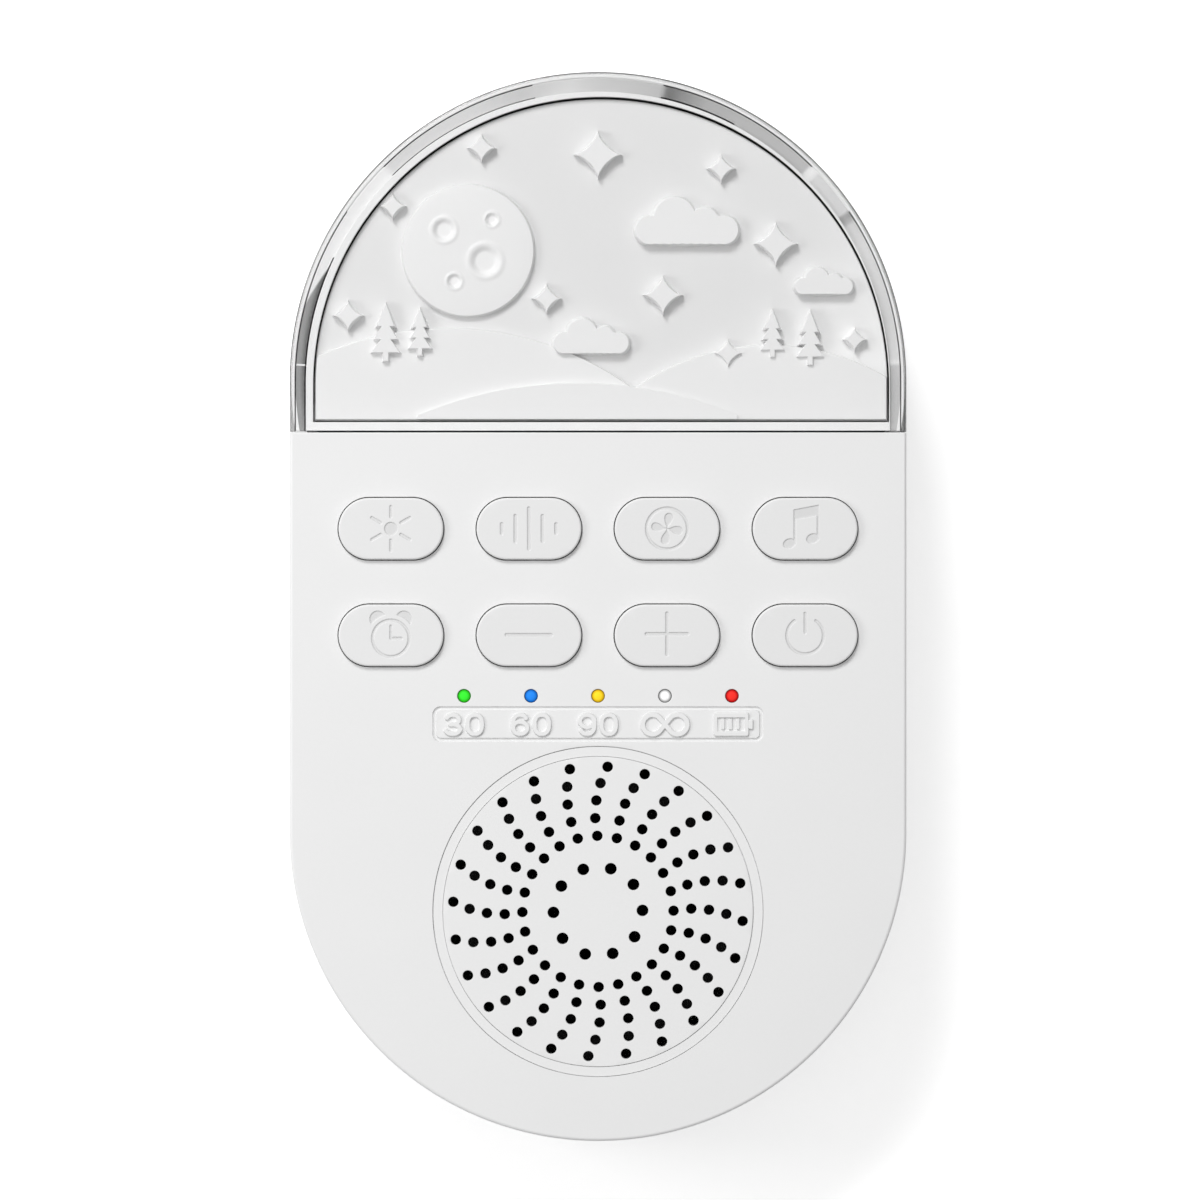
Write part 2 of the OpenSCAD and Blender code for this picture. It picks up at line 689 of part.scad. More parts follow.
module plate_frame() {
    skirt_z = lip_top;
    color(shell_white) difference() {
        translate([0, 0, skirt_z]) linear_extrude(rim_top - skirt_z) dome_plan(frame_r, cover_base_y);
        translate([0, 0, plate_z]) linear_extrude(body_d) dome_plan(rim_r_in, cover_base_y - 1);
        translate([0, 0, skirt_z - 1]) linear_extrude(ledge_z - skirt_z + 1)
            dome_plan(frame_r - skirt_t, cover_base_y + skirt_t);
        translate([0, 0, skirt_z - 1]) linear_extrude(body_d)
            dome_plan(frame_r - ledge_w, cover_base_y + ledge_w);
    }
}

// ---- Relief plate --------------------------------------------------------------------------

// Four-pointed sparkle with concave sides.
module sparkle(size) {
    waist = 0.352;
    polygon([for (i = [0:7]) let (a = 45 * i, r = i % 2 == 0 ? size : size * waist)
        [r * cos(a), r * sin(a)]]);
}

// Cloud of the given length: a flat bar with round ends and two humps.
module cloud(l) {
    capsule_plan(l, l * 0.28);
    translate([-l * 0.12, l * 0.12]) circle(l * 0.2);
    translate([l * 0.17, l * 0.08]) circle(l * 0.14);
}

// Pine of the given height: three stacked triangles over a short trunk.
module pine(h) {
    translate([-h * 0.05, -h * 0.16]) square([h * 0.1, h * 0.3]);
    for (i = [0:2]) translate([0, h * 0.24 * i])
        polygon([[-h * (0.26 - 0.05 * i), 0], [h * (0.26 - 0.05 * i), 0], [0, h * 0.42]]);
}

module relief_area() {
    dome_plan(plate_r - relief_margin, plate_y);
}

// Hill: a large circle that reaches this far above the plate's straight edge.
module hill(x, top, r) {
    translate([x, plate_y + top - r]) circle(r);
}

module raised(h) {
    translate([0, 0, field_z - eps]) linear_extrude(h + eps) intersection() {
        children();
        relief_area();
    }
}

module relief_plate() {
    color(shell_white) {
        translate([0, 0, plate_z]) linear_extrude(plate_t) dome_plan(plate_r, plate_y);
        raised(relief_h * 0.75) difference() {
            translate([-19, arc_y + 19]) circle(9.5);
            for (c = [[-22.5, 22, 1.7], [-16.5, 17.5, 2.3], [-21, 14.5, 1.1], [-15.5, 23.5, 1]])
                translate([c.x, arc_y + c.y]) circle(c.z);
        }
        raised(relief_h * 0.35) hill(-22, 13.5, 46);
        raised(relief_h * 0.6) hill(25, 11, 34);
        raised(relief_h * 0.85) hill(-3, 5.5, 60);
        for (p = [[-31, 10, 8], [-26, 10.6, 6.5], [31, 9.4, 8.5], [25.5, 10.4, 6.5]])
            raised(relief_h * 0.9) translate([p.x, plate_y + p.y]) pine(p.z);
        for (c = [[13, 22, 15], [-1, 5.5, 11], [29, 8.5, 9]])
            raised(relief_h * 0.8) translate([c.x, arc_y + c.y]) cloud(c.z);
        for (s = [[0, 33, 3.2], [9.5, 12.5, 2.6], [26, 20, 2.9], [-34, 5, 2.2], [-7.5, 12, 1.9],
                  [18, 31, 1.8], [-30, 25.5, 1.7], [19, 4, 1.8], [35.5, 1.5, 1.6], [-17, 34, 1.8]])
            raised(relief_h * 0.8) translate([s.x, arc_y + s.y]) sparkle(s.z);
    }
}

// ---- Buttons -------------------------------------------------------------------------------

module ray(angle, from, to, w) {
    rotate(angle) translate([from, -w / 2]) square([to - from, w]);
}

module ring_plan(r, w) {
    difference() {
        circle(r);
        circle(r - w);
    }
}

// Symbol of button i, in the button's own plan.
module symbol(i) {
    if (i == 0) {
        circle(0.92);
        for (a = [30:60:330]) ray(a, 1.5, 3.2, 0.42);
    }
    if (i == 1) for (k = [-2:2]) let (h = [6.28, 4.19, 1.76][abs(k)])
        translate([k * 1.98, 0]) square([0.47, h], center = true);
    if (i == 2) {
        ring_plan(3.14, 0.37);
        circle(0.4);
        for (a = [0:90:270]) rotate(a) {
            translate([-0.25, 0]) square([0.5, 1.4]);
            translate([0.3, 1.5]) circle(0.72);
        }
    }
    if (i == 3) {
        for (c = [[-2.05, -2.35], [1.3, -1.7]]) translate(c) capsule_plan(1.9, 1.3);
        translate([-1.66, -2.2]) square([0.44, 4.9]);
        translate([1.69, -1.6]) square([0.44, 5.1]);
        polygon([[-1.66, 1.4], [2.13, 2.2], [2.13, 3.5], [-1.66, 2.7]]);
    }
    if (i == 4) {
        translate([0, -0.5]) {
            ring_plan(2.76, 0.34);
            translate([-0.2, -0.2]) square([0.4, 2.1]);
            translate([-0.2, -0.2]) square([1.9, 0.4]);
            for (side = [0, 1]) mirror([side, 0]) difference() {
                ring_plan(3.6, 0.4);
                for (a = [-75, 60]) rotate(a) translate([-1, -8]) square([8, 8.6]);
            }
        }
    }
    if (i == 5 || i == 6) square([i == 5 ? 6.87 : 6.36, 0.45], center = true);
    if (i == 6) square([0.45, 6.36], center = true);
    if (i == 7) {
        translate([0, -0.2]) difference() {
            ring_plan(2.91, 0.36);
            polygon([[0, 0], [-3 * tan(35), 3], [3 * tan(35), 3]]);
        }
        translate([-0.2, 0.1]) square([0.4, 3.1]);
    }
}

module button_cap(i) {
    at = button_at(i);
    roof_z = cap_top - symbol_depth - 1;
    color(shell_white) translate([at.x, at.y, 0]) difference() {
        union() {
            rotate([0, 0, 90]) stadium_sweep((cap_l - cap_h) / 2)
                block_profile(cap_h / 2, flange_z, cap_top, cap_edge_r, true);
            translate([0, 0, flange_z]) linear_extrude(flange_t)
                capsule_plan(cap_l + 2 * flange_w, cap_h + 2 * flange_w);
            translate([0, 0, plunger_top]) cylinder(r = post_r, h = roof_z - plunger_top + eps);
        }
        translate([0, 0, flange_z - 1]) difference() {
            linear_extrude(roof_z - flange_z + 1) capsule_plan(cap_l - 2 * cap_wall, cap_h - 2 * cap_wall);
            translate([0, 0, -10]) cylinder(r = post_r, h = 30);
        }
        translate([0, 0, cap_top - symbol_depth]) linear_extrude(1) symbol(i);
    }
}

module button_plunger(i) {
    at = button_at(i);
    color([0.1, 0.1, 0.11]) translate([at.x, at.y, plunger_z])
        cylinder(r = plunger_r, h = plunger_top - plunger_z);
}

// ---- Main board ----------------------------------------------------------------------------

module switch_bodies() {
    color([0.2, 0.2, 0.22]) for (i = [0:7]) translate([button_at(i).x, button_at(i).y, board_top])
        difference() {
            translate([-switch_w / 2, -switch_w / 2, 0]) cube([switch_w, switch_w, switch_h]);
            translate([0, 0, 0.3]) cylinder(r = plunger_r + plunger_gap, h = switch_h);
        }
}

module main_board() {
    tongue_w = socket_w + 3;
    color(board_green) difference() {
        translate([0, 0, board_z]) linear_extrude(board_t) {
            translate([-board_x, board_lo]) square([2 * board_x, board_hi - board_lo]);
            translate([board_x - 1, socket_y - tongue_w / 2])
                square([socket_mouth_x - socket_l + 3.6 - board_x + 1, tongue_w]);
        }
        for (p = board_bosses) translate([p.x, p.y, board_z - 1])
            cylinder(r = small_screw_r + 0.15, h = board_t + 2);
        for (i = [-2:2], s = [-1, 1]) translate([i * lamp_pitch + s * lead_pitch / 2, lamp_y, board_z - 1])
            cylinder(r = lead_w * 0.9, h = board_t + 2, $fn = 16);
    }
}

module circuit_chips() {
    chips = [
        [-chip_x, chip_l, chip_w],
        [outer_chip_x, small_chip_l, outer_chip_w],
        [inner_chip_x, small_chip_l, inner_chip_w]
    ];
    color([0.08, 0.08, 0.09]) for (c = chips)
        translate([c.x - c.y / 2, rows_y - c.z / 2, board_top]) cube([c.y, c.z, chip_h]);
}

module capacitors() {
    color([0.75, 0.76, 0.78]) for (x = [-left_capacitor_x, right_capacitor_x])
        translate([x, rows_y, board_top]) cylinder(r = capacitor_r, h = capacitor_h);
}

module lamp(i, tint) {
    tip = body_d + lamp_rise;
    dome_r = (lamp_r * lamp_r + lamp_dome_h * lamp_dome_h) / (2 * lamp_dome_h);
    color(tint) translate([i * lamp_pitch, lamp_y, 0]) rotate_extrude() {
        intersection() {
            translate([0, lamp_collar_z]) square([lamp_r, tip - lamp_collar_z]);
            translate([0, tip - dome_r]) union() {
                circle(dome_r);
                translate([0, lamp_collar_z - tip])
                    square([lamp_r, dome_r - lamp_dome_h + tip - lamp_collar_z]);
            }
        }
        translate([0, lamp_collar_z]) square([lamp_r + lamp_collar_w, 1]);
    }
}

module lamp_leads() {
    color([0.8, 0.8, 0.82]) for (i = [-2:2], s = [-1, 1])
        translate([i * lamp_pitch + s * lead_pitch / 2 - lead_w / 2, lamp_y - lead_w / 2, board_z - 1])
            cube([lead_w, lead_w, lamp_collar_z - board_z + 1]);
}

module lamp_spacer() {
    l = 4 * lamp_pitch + 5;
    color([0.15, 0.15, 0.16]) difference() {
        translate([-l / 2, lamp_y - spacer_w / 2, board_top]) cube([l, spacer_w, spacer_h]);
        for (i = [-2:2], s = [-1, 1])
            translate([i * lamp_pitch + s * lead_pitch / 2, lamp_y, board_top - 1])
                cylinder(r = lead_w * 0.9, h = spacer_h + 2, $fn = 16);
    }
}

module charging_socket() {
    shell_t = 0.3;
    color(steel_grey) translate([socket_mouth_x - socket_l, socket_y, board_top + socket_h / 2])
        rotate([90, 0, 90]) difference() {
            linear_extrude(socket_l) capsule_plan(socket_w, socket_h);
            translate([0, 0, 1]) linear_extrude(socket_l)
                capsule_plan(socket_w - 2 * shell_t, socket_h - 2 * shell_t);
        }
}

module socket_tongue() {
    tongue_w = 6.6;
    tongue_t = 0.7;
    mid_z = board_top + socket_h / 2;
    color([0.1, 0.1, 0.1])
        translate([socket_mouth_x - socket_l + 1, socket_y - tongue_w / 2, mid_z - tongue_t / 2])
            cube([socket_l - 1.6, tongue_w, tongue_t]);
}

// ---- Speaker -------------------------------------------------------------------------------

module speaker_part(tint) {
    color(tint) translate([0, speaker_y, 0]) children();
}

cone_foot_z = basket_z + cone_rise;
surround_z = speaker_top - speaker_sheet - 0.4;
seat_in_r = speaker_r - seat_w;
surround_in_r = seat_in_r - surround_w;
basket_foot_r = magnet_r + speaker_sheet;

module speaker_basket() {
    speaker_part(steel_grey) rotate_extrude() {
        translate([seat_in_r, speaker_top - speaker_sheet]) square([speaker_r - seat_in_r, speaker_sheet]);
        polygon([
            [seat_in_r, speaker_top], [seat_in_r, speaker_top - speaker_sheet - 0.6],
            [basket_foot_r, basket_z], [basket_foot_r + speaker_sheet, basket_z],
            [seat_in_r + speaker_sheet, speaker_top - speaker_sheet - 0.6],
            [seat_in_r + speaker_sheet, speaker_top]
        ]);
        translate([coil_r + coil_gap, basket_z])
            square([basket_foot_r + speaker_sheet - coil_r - coil_gap, speaker_sheet]);
    }
}

module speaker_magnet() {
    speaker_part([0.25, 0.25, 0.27]) translate([0, 0, magnet_z]) difference() {
        cylinder(r = magnet_r, h = magnet_h);
        translate([0, 0, -1]) cylinder(r = coil_r + 1, h = magnet_h + 2);
    }
}

module speaker_yoke() {
    speaker_part(steel_grey) {
        translate([0, 0, speaker_back]) cylinder(r = magnet_r - 0.5, h = steel_t);
        translate([0, 0, speaker_back]) cylinder(r = coil_r - 0.5, h = basket_z - speaker_back);
    }
}

module speaker_top_plate() {
    speaker_part(steel_grey) translate([0, 0, top_plate_z]) difference() {
        cylinder(r = magnet_r - 0.5, h = steel_t);
        translate([0, 0, -1]) cylinder(r = coil_r + 0.5, h = steel_t + 2);
    }
}

module voice_coil() {
    speaker_part([0.75, 0.45, 0.25]) translate([0, 0, top_plate_z - 1]) difference() {
        cylinder(r = coil_r + 0.15, h = cone_foot_z - top_plate_z + 1);
        translate([0, 0, -1]) cylinder(r = coil_r - 0.15, h = cone_foot_z);
    }
}

// Corrugated disc that centres the coil: a flat web with two rings of round folds.
module speaker_spider() {
    web_z = basket_z + web_rise;
    speaker_part([0.8, 0.65, 0.35]) rotate_extrude() {
        translate([coil_r + 0.15, web_z]) square([magnet_r - coil_r - 0.15, 0.25]);
        for (r = [coil_r + 2.2, coil_r + 4.4]) translate([r, web_z + 0.12]) circle(0.3);
        translate([magnet_r - 0.8, basket_z + speaker_sheet])
            square([0.8, web_z + 0.25 - basket_z - speaker_sheet]);
    }
}

module speaker_cone() {
    speaker_part([0.12, 0.12, 0.13]) rotate_extrude() polygon([
        [coil_r - 0.15, cone_foot_z], [coil_r + 0.6, cone_foot_z],
        [surround_in_r + 0.6, surround_z - cone_paper], [surround_in_r + 0.6, surround_z],
        [surround_in_r - 0.2, surround_z], [coil_r - 0.15, cone_foot_z + cone_paper]
    ]);
}

// Half roll between the cone and the frame's seat.
module speaker_surround() {
    skin = 0.3;
    roll_r = (seat_in_r - surround_in_r) / 2 - 0.15;
    mid = (seat_in_r + surround_in_r) / 2;
    speaker_part([0.08, 0.08, 0.08]) rotate_extrude() {
        translate([mid, surround_z + skin]) intersection() {
            ring_plan(roll_r, skin);
            translate([-roll_r, 0]) square([2 * roll_r, roll_r]);
        }
        translate([surround_in_r - 0.2, surround_z])
            square([mid - roll_r + skin - surround_in_r + 0.2, skin]);
        translate([mid + roll_r - skin, surround_z]) square([seat_in_r - mid - roll_r + skin, skin]);
    }
}

module speaker_dust_cap() {
    skin = 0.3;
    slope = (surround_z - cone_foot_z - cone_paper) / (surround_in_r - coil_r - 0.05);
    foot = cone_foot_z + cone_paper + slope * (dust_cap_r - coil_r + 0.15) + 0.05;
    speaker_part([0.1, 0.1, 0.11]) rotate_extrude() intersection() {
        translate([0, foot - sqrt(dust_dome_r * dust_dome_r - dust_cap_r * dust_cap_r)]) difference() {
            circle(dust_dome_r);
            circle(dust_dome_r - skin);
        }
        translate([0, foot]) square([dust_cap_r, dust_dome_r]);
    }
}

module speaker_gasket() {
    speaker_part([0.1, 0.1, 0.1]) translate([0, 0, speaker_top]) difference() {
        cylinder(r = speaker_r, h = gasket_t);
        translate([0, 0, -1]) cylinder(r = seat_in_r, h = gasket_t + 2);
    }
}

// Solder lugs on a small strip that sticks to the basket's side.
module speaker_terminals() {
    speaker_part([0.6, 0.45, 0.2]) translate([-3.5, basket_foot_r + speaker_sheet - 1.2, basket_z - 0.8])
        cube([7, 3.4, 0.8]);
}

// ---- Battery and wires ---------------------------------------------------------------------

module battery_cell() {
    color([0.75, 0.78, 0.82]) translate([0, battery_y, battery_z]) linear_extrude(battery_h)
        rounded_plan(battery_l, battery_w, 1.5);
}

module battery_pad() {
    color([0.9, 0.9, 0.85]) translate([0, battery_y, wall]) linear_extrude(pad_t)
        square([battery_l - 2 * pad_margin, battery_w - 2 * pad_margin], center = true);
}

plug_at = [-battery_l / 2 - plug_out, battery_y - plug_drop];
plug_seat_t = 1.2;
plug_base_z = board_z - plug_seat_t - plug_h;

module battery_socket() {
    l = plug_l + 2 * plug_rim + 0.2;
    w = plug_w + 2 * plug_rim;
    color([0.9, 0.88, 0.8]) translate([plug_at.x - l / 2, plug_at.y - w / 2, board_z - plug_seat_t])
        cube([l, w, plug_seat_t]);
}

module battery_plug() {
    color([0.95, 0.93, 0.86]) translate([plug_at.x - plug_l / 2, plug_at.y - plug_w / 2, plug_base_z])
        cube([plug_l, plug_w, plug_h]);
}

module battery_wires() {
    start_x = -battery_l / 2;
    mid_z = battery_z + battery_h / 2;
    for (s = [-1, 1]) color(s < 0 ? [0.8, 0.1, 0.1] : [0.08, 0.08, 0.08])
        let (y = plug_at.y + s * plug_wire_pitch / 2)
            wire([[start_x, y, mid_z], [start_x - 4, y, mid_z],
                  [plug_at.x, y, mid_z - 2.2], [plug_at.x, y, plug_base_z]],
                 [0, 1, 0]);
}

module speaker_wires() {
    lug_y = speaker_y + basket_foot_r + speaker_sheet + 1.4;
    lug_z = basket_z - 0.8;
    pad_y = board_lo + speaker_wire_inset;
    for (s = [-1, 1]) color(s < 0 ? [0.8, 0.1, 0.1] : [0.08, 0.08, 0.08])
        let (x0 = s * speaker_wire_pitch / 2, x1 = s * board_wire_pitch / 2)
            wire([[x0, lug_y, lug_z], [x0, lug_y, lug_z - speaker_wire_slack],
                  [x1, pad_y, board_z - speaker_wire_slack], [x1, pad_y, board_z]],
                 [1, 0, 0]);
}

module night_light_wires() {
    from_y = board_hi - glow_wire_inset;
    to_y = glow_y + glow_wire_inset;
    for (s = [-1, 1]) color(s < 0 ? [0.8, 0.1, 0.1] : [0.08, 0.08, 0.08])
        let (x = -glow_wire_x + s * glow_wire_pitch / 2)
            wire([[x, from_y, board_z], [x, from_y, board_z - glow_wire_slack],
                  [x, to_y, glow_board_z - glow_wire_slack / 2], [x, to_y, glow_board_z]],
                 [1, 0, 0]);
}

// ---- Night light and screws ----------------------------------------------------------------

module night_light_board() {
    color([0.93, 0.94, 0.93]) difference() {
        translate([0, 0, glow_board_z]) linear_extrude(glow_board_t) intersection() {
            translate([0, glow_y]) circle(glow_board_r);
            translate([-glow_board_r, glow_y]) square([2 * glow_board_r, glow_board_r]);
        }
        for (p = glow_posts) translate([p.x, p.y, glow_board_z - 1])
            cylinder(r = small_screw_r + 0.15, h = glow_board_t + 2);
    }
}

module night_light_diodes() {
    arc_r = glow_board_r * 0.58;
    color([0.98, 0.9, 0.5]) for (i = [0:glow_count - 1]) let (a = 14 + i * 152 / (glow_count - 1))
        translate([arc_r * cos(a), glow_y + arc_r * sin(a), glow_top]) rotate([0, 0, a])
            translate([-glow_led_w / 2, -glow_led_w / 2, 0]) cube([glow_led_w, glow_led_w, glow_led_h]);
}

module housing_screws() {
    color(steel_grey) for (p = housing_bosses) translate([p.x, p.y, screw_head_z]) {
        cylinder(r = screw_head_r, h = screw_head_h);
        cylinder(r = screw_r - fit_gap / 2, h = screw_head_h + screw_l);
    }
}

module board_screws() {
    color(steel_grey) for (p = board_bosses) translate([p.x, p.y, board_z])
        small_screw(small_head_r);
}

module speaker_screws() {
    color(steel_grey) translate([0, speaker_y, 0]) for (a = speaker_screw_angles) rotate([0, 0, a])
        translate([screw_ring_r, 0, speaker_top - speaker_sheet]) {
            translate([0, 0, -small_head_h]) cylinder(r = speaker_head_r, h = small_head_h);
            cylinder(r = small_screw_r - fit_gap / 2, h = speaker_sheet + gasket_t + 0.6);
        }
}

module night_light_screws() {
    color(steel_grey) for (p = glow_posts) translate([p.x, p.y, glow_top]) mirror([0, 0, 1])
        small_screw(small_head_r);
}

front_housing();
rear_housing();
clear_cover();
plate_frame();
relief_plate();
button_cap(0);  // light_button
button_cap(1);  // sound_button
button_cap(2);  // fan_button
button_cap(3);  // music_button
button_cap(4);  // timer_button
button_cap(5);  // minus_button
button_cap(6);  // plus_button
button_cap(7);  // power_button
button_plunger(0);  // light_plunger
button_plunger(1);  // sound_plunger
button_plunger(2);  // fan_plunger
button_plunger(3);  // music_plunger
button_plunger(4);  // timer_plunger
button_plunger(5);  // minus_plunger
button_plunger(6);  // plus_plunger
button_plunger(7);  // power_plunger
switch_bodies();
main_board();
circuit_chips();
capacitors();
lamp(-2, [0.1, 0.8, 0.2]);  // green_lamp
lamp(-1, [0.15, 0.45, 0.85]);  // blue_lamp
lamp(0, [0.95, 0.75, 0.15]);  // amber_lamp
lamp(1, [0.95, 0.95, 0.95]);  // clear_lamp
lamp(2, [0.9, 0.15, 0.12]);  // red_lamp
lamp_leads();
lamp_spacer();
charging_socket();
socket_tongue();
speaker_basket();
speaker_magnet();
speaker_yoke();
speaker_top_plate();
voice_coil();
speaker_spider();
speaker_cone();
speaker_surround();
speaker_dust_cap();
speaker_gasket();
speaker_terminals();
battery_cell();
battery_pad();
battery_socket();
battery_plug();
night_light_board();
night_light_diodes();
housing_screws();
board_screws();
speaker_screws();
night_light_screws();
speaker_wires();
battery_wires();
night_light_wires();
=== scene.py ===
# %% [markdown]
# # A pocket sound machine, dressed piece by piece
#
# The object is a flat, stadium-shaped box of white plastic that lies on its back. Its lower part holds
# eight push buttons, five small lamps over a scale, and a round speaker grille. Its upper end is a
# half-round clear cover over a white relief plate, which glows at night.
#
# The engineering model gives every piece its place, so it is loaded first and never changed. A piece
# that needs finer shapes than it has is made again here, in the same place, and stands for it.

import math

import bmesh
import bpy
import numpy as np
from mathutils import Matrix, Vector
from mathutils.geometry import delaunay_2d_cdt


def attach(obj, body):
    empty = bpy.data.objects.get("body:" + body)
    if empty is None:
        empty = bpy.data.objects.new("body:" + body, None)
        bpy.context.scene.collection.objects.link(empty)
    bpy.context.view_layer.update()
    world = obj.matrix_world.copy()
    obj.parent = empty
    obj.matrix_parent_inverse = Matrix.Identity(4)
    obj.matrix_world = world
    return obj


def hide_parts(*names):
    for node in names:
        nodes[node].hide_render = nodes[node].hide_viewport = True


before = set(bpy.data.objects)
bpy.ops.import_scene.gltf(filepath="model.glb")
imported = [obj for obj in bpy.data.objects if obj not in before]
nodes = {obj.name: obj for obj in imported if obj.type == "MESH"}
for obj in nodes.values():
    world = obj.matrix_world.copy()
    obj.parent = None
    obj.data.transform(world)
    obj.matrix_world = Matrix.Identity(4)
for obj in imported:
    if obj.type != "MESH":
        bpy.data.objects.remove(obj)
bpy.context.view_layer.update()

# %% [markdown]
# ## The sizes that the pieces share
#
# The origin is in the middle of the rear face, +Z comes out of the front and +Y points to the clear
# cover. It is easier to think in millimetres, so all shapes are worked out in them and scaled once,
# when a mesh is made.

# %% Shared sizes
MM = 0.001
BODY_R, WALL = 45.0, 2.0
SEAM, FACE = 12.0, 28.0
INSIDE = FACE - WALL
LIP_TOP = 14.1
ARC_Y = 33.0
COVER_Y, FOOT_Y = 25.4, 25.5
WINDOW, COVER_IN = 26.4, 44.78
RIM_R, RIM_AT, RIM_TOP = 42.7, np.array([0, ARC_Y - 0.45]), 25.5
HOLE_R, HOLE_AT = 42.1, np.array([0.46, ARC_Y - 0.61])
BAR_Y, LEDGE_TOP = 26.95, 22.9
FLANGE_IN, FLANGE_OUT, FLANGE_DEEP = 42.2, 44.25, 3.2
PLATE_R, PLATE_Y, FIELD = 41.9, 27.15, 24.5
PLATE_AT = np.array([0.44, ARC_Y - 0.71])
RELIEF = 1.75
COLUMN, ROWS = 20.13, (11.34, -4.2)
CAP_L, CAP_H, CAP_TOP = 15.3, 9.0, 28.9
GRILLE = np.array([0.0, -44.5])
print("front face at", FACE, "mm, plate field at", FIELD, "mm")

# %% [markdown]
# ## A small language for shader maths
#
# A finish on real plastic is never one flat colour: grain, dust and pores change it from spot to spot.
# Blender describes that with nodes, and sums of noises soon become a long list of Math nodes. The class
# below wraps a node's output, so that `0.5 + 0.1 * noise` in Python adds those nodes by itself. Every
# other node comes from one method, which takes the node's type, its settings and its sockets.


# %% Values
class Value:
    """An output of a node. Arithmetic on it adds Math nodes."""

    def __init__(self, recipe, socket):
        self.recipe, self.socket = recipe, socket

    def math(self, operation, other=0.0):
        """A Math node that takes this value and another value or number."""
        return self.recipe.node("Math", {0: self, 1: other}, operation=operation)

    def __add__(self, other):
        return self.math("ADD", other)

    def __sub__(self, other):
        return self.math("SUBTRACT", other)

    def __rsub__(self, other):
        return self * -1 + other

    def __mul__(self, other):
        return self.math("MULTIPLY", other)

    __radd__, __rmul__ = __add__, __mul__


print("values add Math nodes by themselves")


# %% Recipes
class Recipe:
    """A material, or a world, and the nodes that make it up."""

    def __init__(self, name, blocks=None):
        self.block = (bpy.data.materials if blocks is None else blocks).new(name)
        self.block.use_nodes = True
        self.tree = self.block.node_tree
        self.tree.nodes.clear()

    def node(self, kind, sockets=None, output=0, stops=None, **settings):
        """Adds a node: its settings first, then values or links for its sockets."""
        made = self.tree.nodes.new("ShaderNode" + kind)
        for name, value in settings.items():
            setattr(made, name, value)
        if stops:
            ramp = made.color_ramp.elements
            while len(ramp) > 1:
                ramp.remove(ramp[-1])
            for i, (at, colour) in enumerate(stops):
                stop = ramp[0] if i == 0 else ramp.new(at)
                stop.position, stop.color = at, (*colour, 1)
        for name, value in (sockets or {}).items():
            if isinstance(value, Value):
                self.tree.links.new(value.socket, made.inputs[name])
            else:
                made.inputs[name].default_value = value
        return None if output is None else Value(self, made.outputs[output])

    def place(self, scale=(1, 1, 1), centre=(0, 0, 0)):
        """Object coordinates, moved by the centre and scaled."""
        at = self.node("TexCoord", output="Object")
        at = self.node("VectorMath", {0: at, 1: centre}, operation="SUBTRACT")
        return self.node("Mapping", {"Vector": at, "Scale": scale})

    def coordinates(self, letters="XYZ", centre=(0, 0)):
        """The coordinates named by the letters, in millimetres from a centre in plan."""
        at = self.place((1 / MM, 1 / MM, 1 / MM), (centre[0] * MM, centre[1] * MM, 0))
        return [self.node("SeparateXYZ", {0: at}, output=letter) for letter in letters]

    def length(self, vector):
        """The length of a vector."""
        return self.node("VectorMath", {0: vector}, output="Value", operation="LENGTH")

    def away(self, centre):
        """Distance in plan from a centre, in millimetres."""
        return self.length(self.place((1 / MM, 1 / MM, 0), (centre[0] * MM, centre[1] * MM, 0)))

    def ray(self, kind):
        """1 for rays of a kind, such as Camera, and 0 for others."""
        return self.node("LightPath", output=f"Is {kind} Ray")

    def noise(self, size, detail=2.0, place=None):
        """Noise whose bumps are about this many millimetres wide, from 0 to 1."""
        sockets = {"Vector": place or self.place(), "Scale": 1 / (size * MM), "Detail": detail}
        return self.node("TexNoise", sockets)

    def between(self, factor, a, b):
        """The colour a where the factor is 0 and b where it is 1."""
        sockets = {0: factor, 6: colour(a), 7: colour(b)}
        return self.node("Mix", sockets, output=2, data_type="RGBA")

    def bump(self, height, depth):
        """Normals tilted by a height from 0 to 1 that is this many millimetres deep."""
        return self.node("Bump", {"Height": height, "Distance": depth * MM, "Strength": 1.0})

    def principled(self, **sockets):
        """The usual surface shader, with spaces for underscores in its socket names."""
        named = {name.replace("_", " "): value for name, value in sockets.items()}
        return self.node("BsdfPrincipled", named)

    def finish(self, shader, kind="Material"):
        """Joins the shader to the output and gives the material or world."""
        self.node("Output" + kind, {"Surface": shader}, output=None)
        return self.block


def colour(c):
    """Four channels from a grey level, three channels or a value."""
    if isinstance(c, Value):
        return c
    return (c, c, c, 1.0) if isinstance(c, (int, float)) else (*c, 1.0)


print("recipes are ready")

# %% [markdown]
# ## White plastic
#
# The housings are moulded in white ABS. The mould is spark-eroded, which leaves a very fine matt grain
# that one feels more than sees. The grain is real relief of a few thousandths of a millimetre, far too
# fine for a mesh, so it is the one thing that bump is right for. Caps come from a smoother mould, and
# the relief plate is smoother still so that its shading stays clean.


# %% Where painted shade and light go: the plate's field and the sunk symbols
SYMBOL_R = 4.0


def step(value, start, end):
    """0 at the start and 1 at the end, with a smooth rise between."""
    sockets = {"Value": value, "From Min": start, "From Max": end}
    return value.recipe.node("MapRange", sockets, interpolation_type="SMOOTHSTEP")


def field_shade_share(r):
    """1 on the relief plate's field, which gets painted shade and light, and 0 on the tops of its
    motifs.
    """
    (z,) = r.coordinates("Z")
    return step(z, FIELD + 0.9, FIELD + 0.1)


def field_painted_light(r):
    """Painted shade keeps the field darker than the motifs' tops; painted light pales it to its lower
    right.
    """
    x, y = r.coordinates("XY", (0, ARC_Y))
    return r.between(step(x - 0.6 * y, 18, 38), 0.82, 0.91)


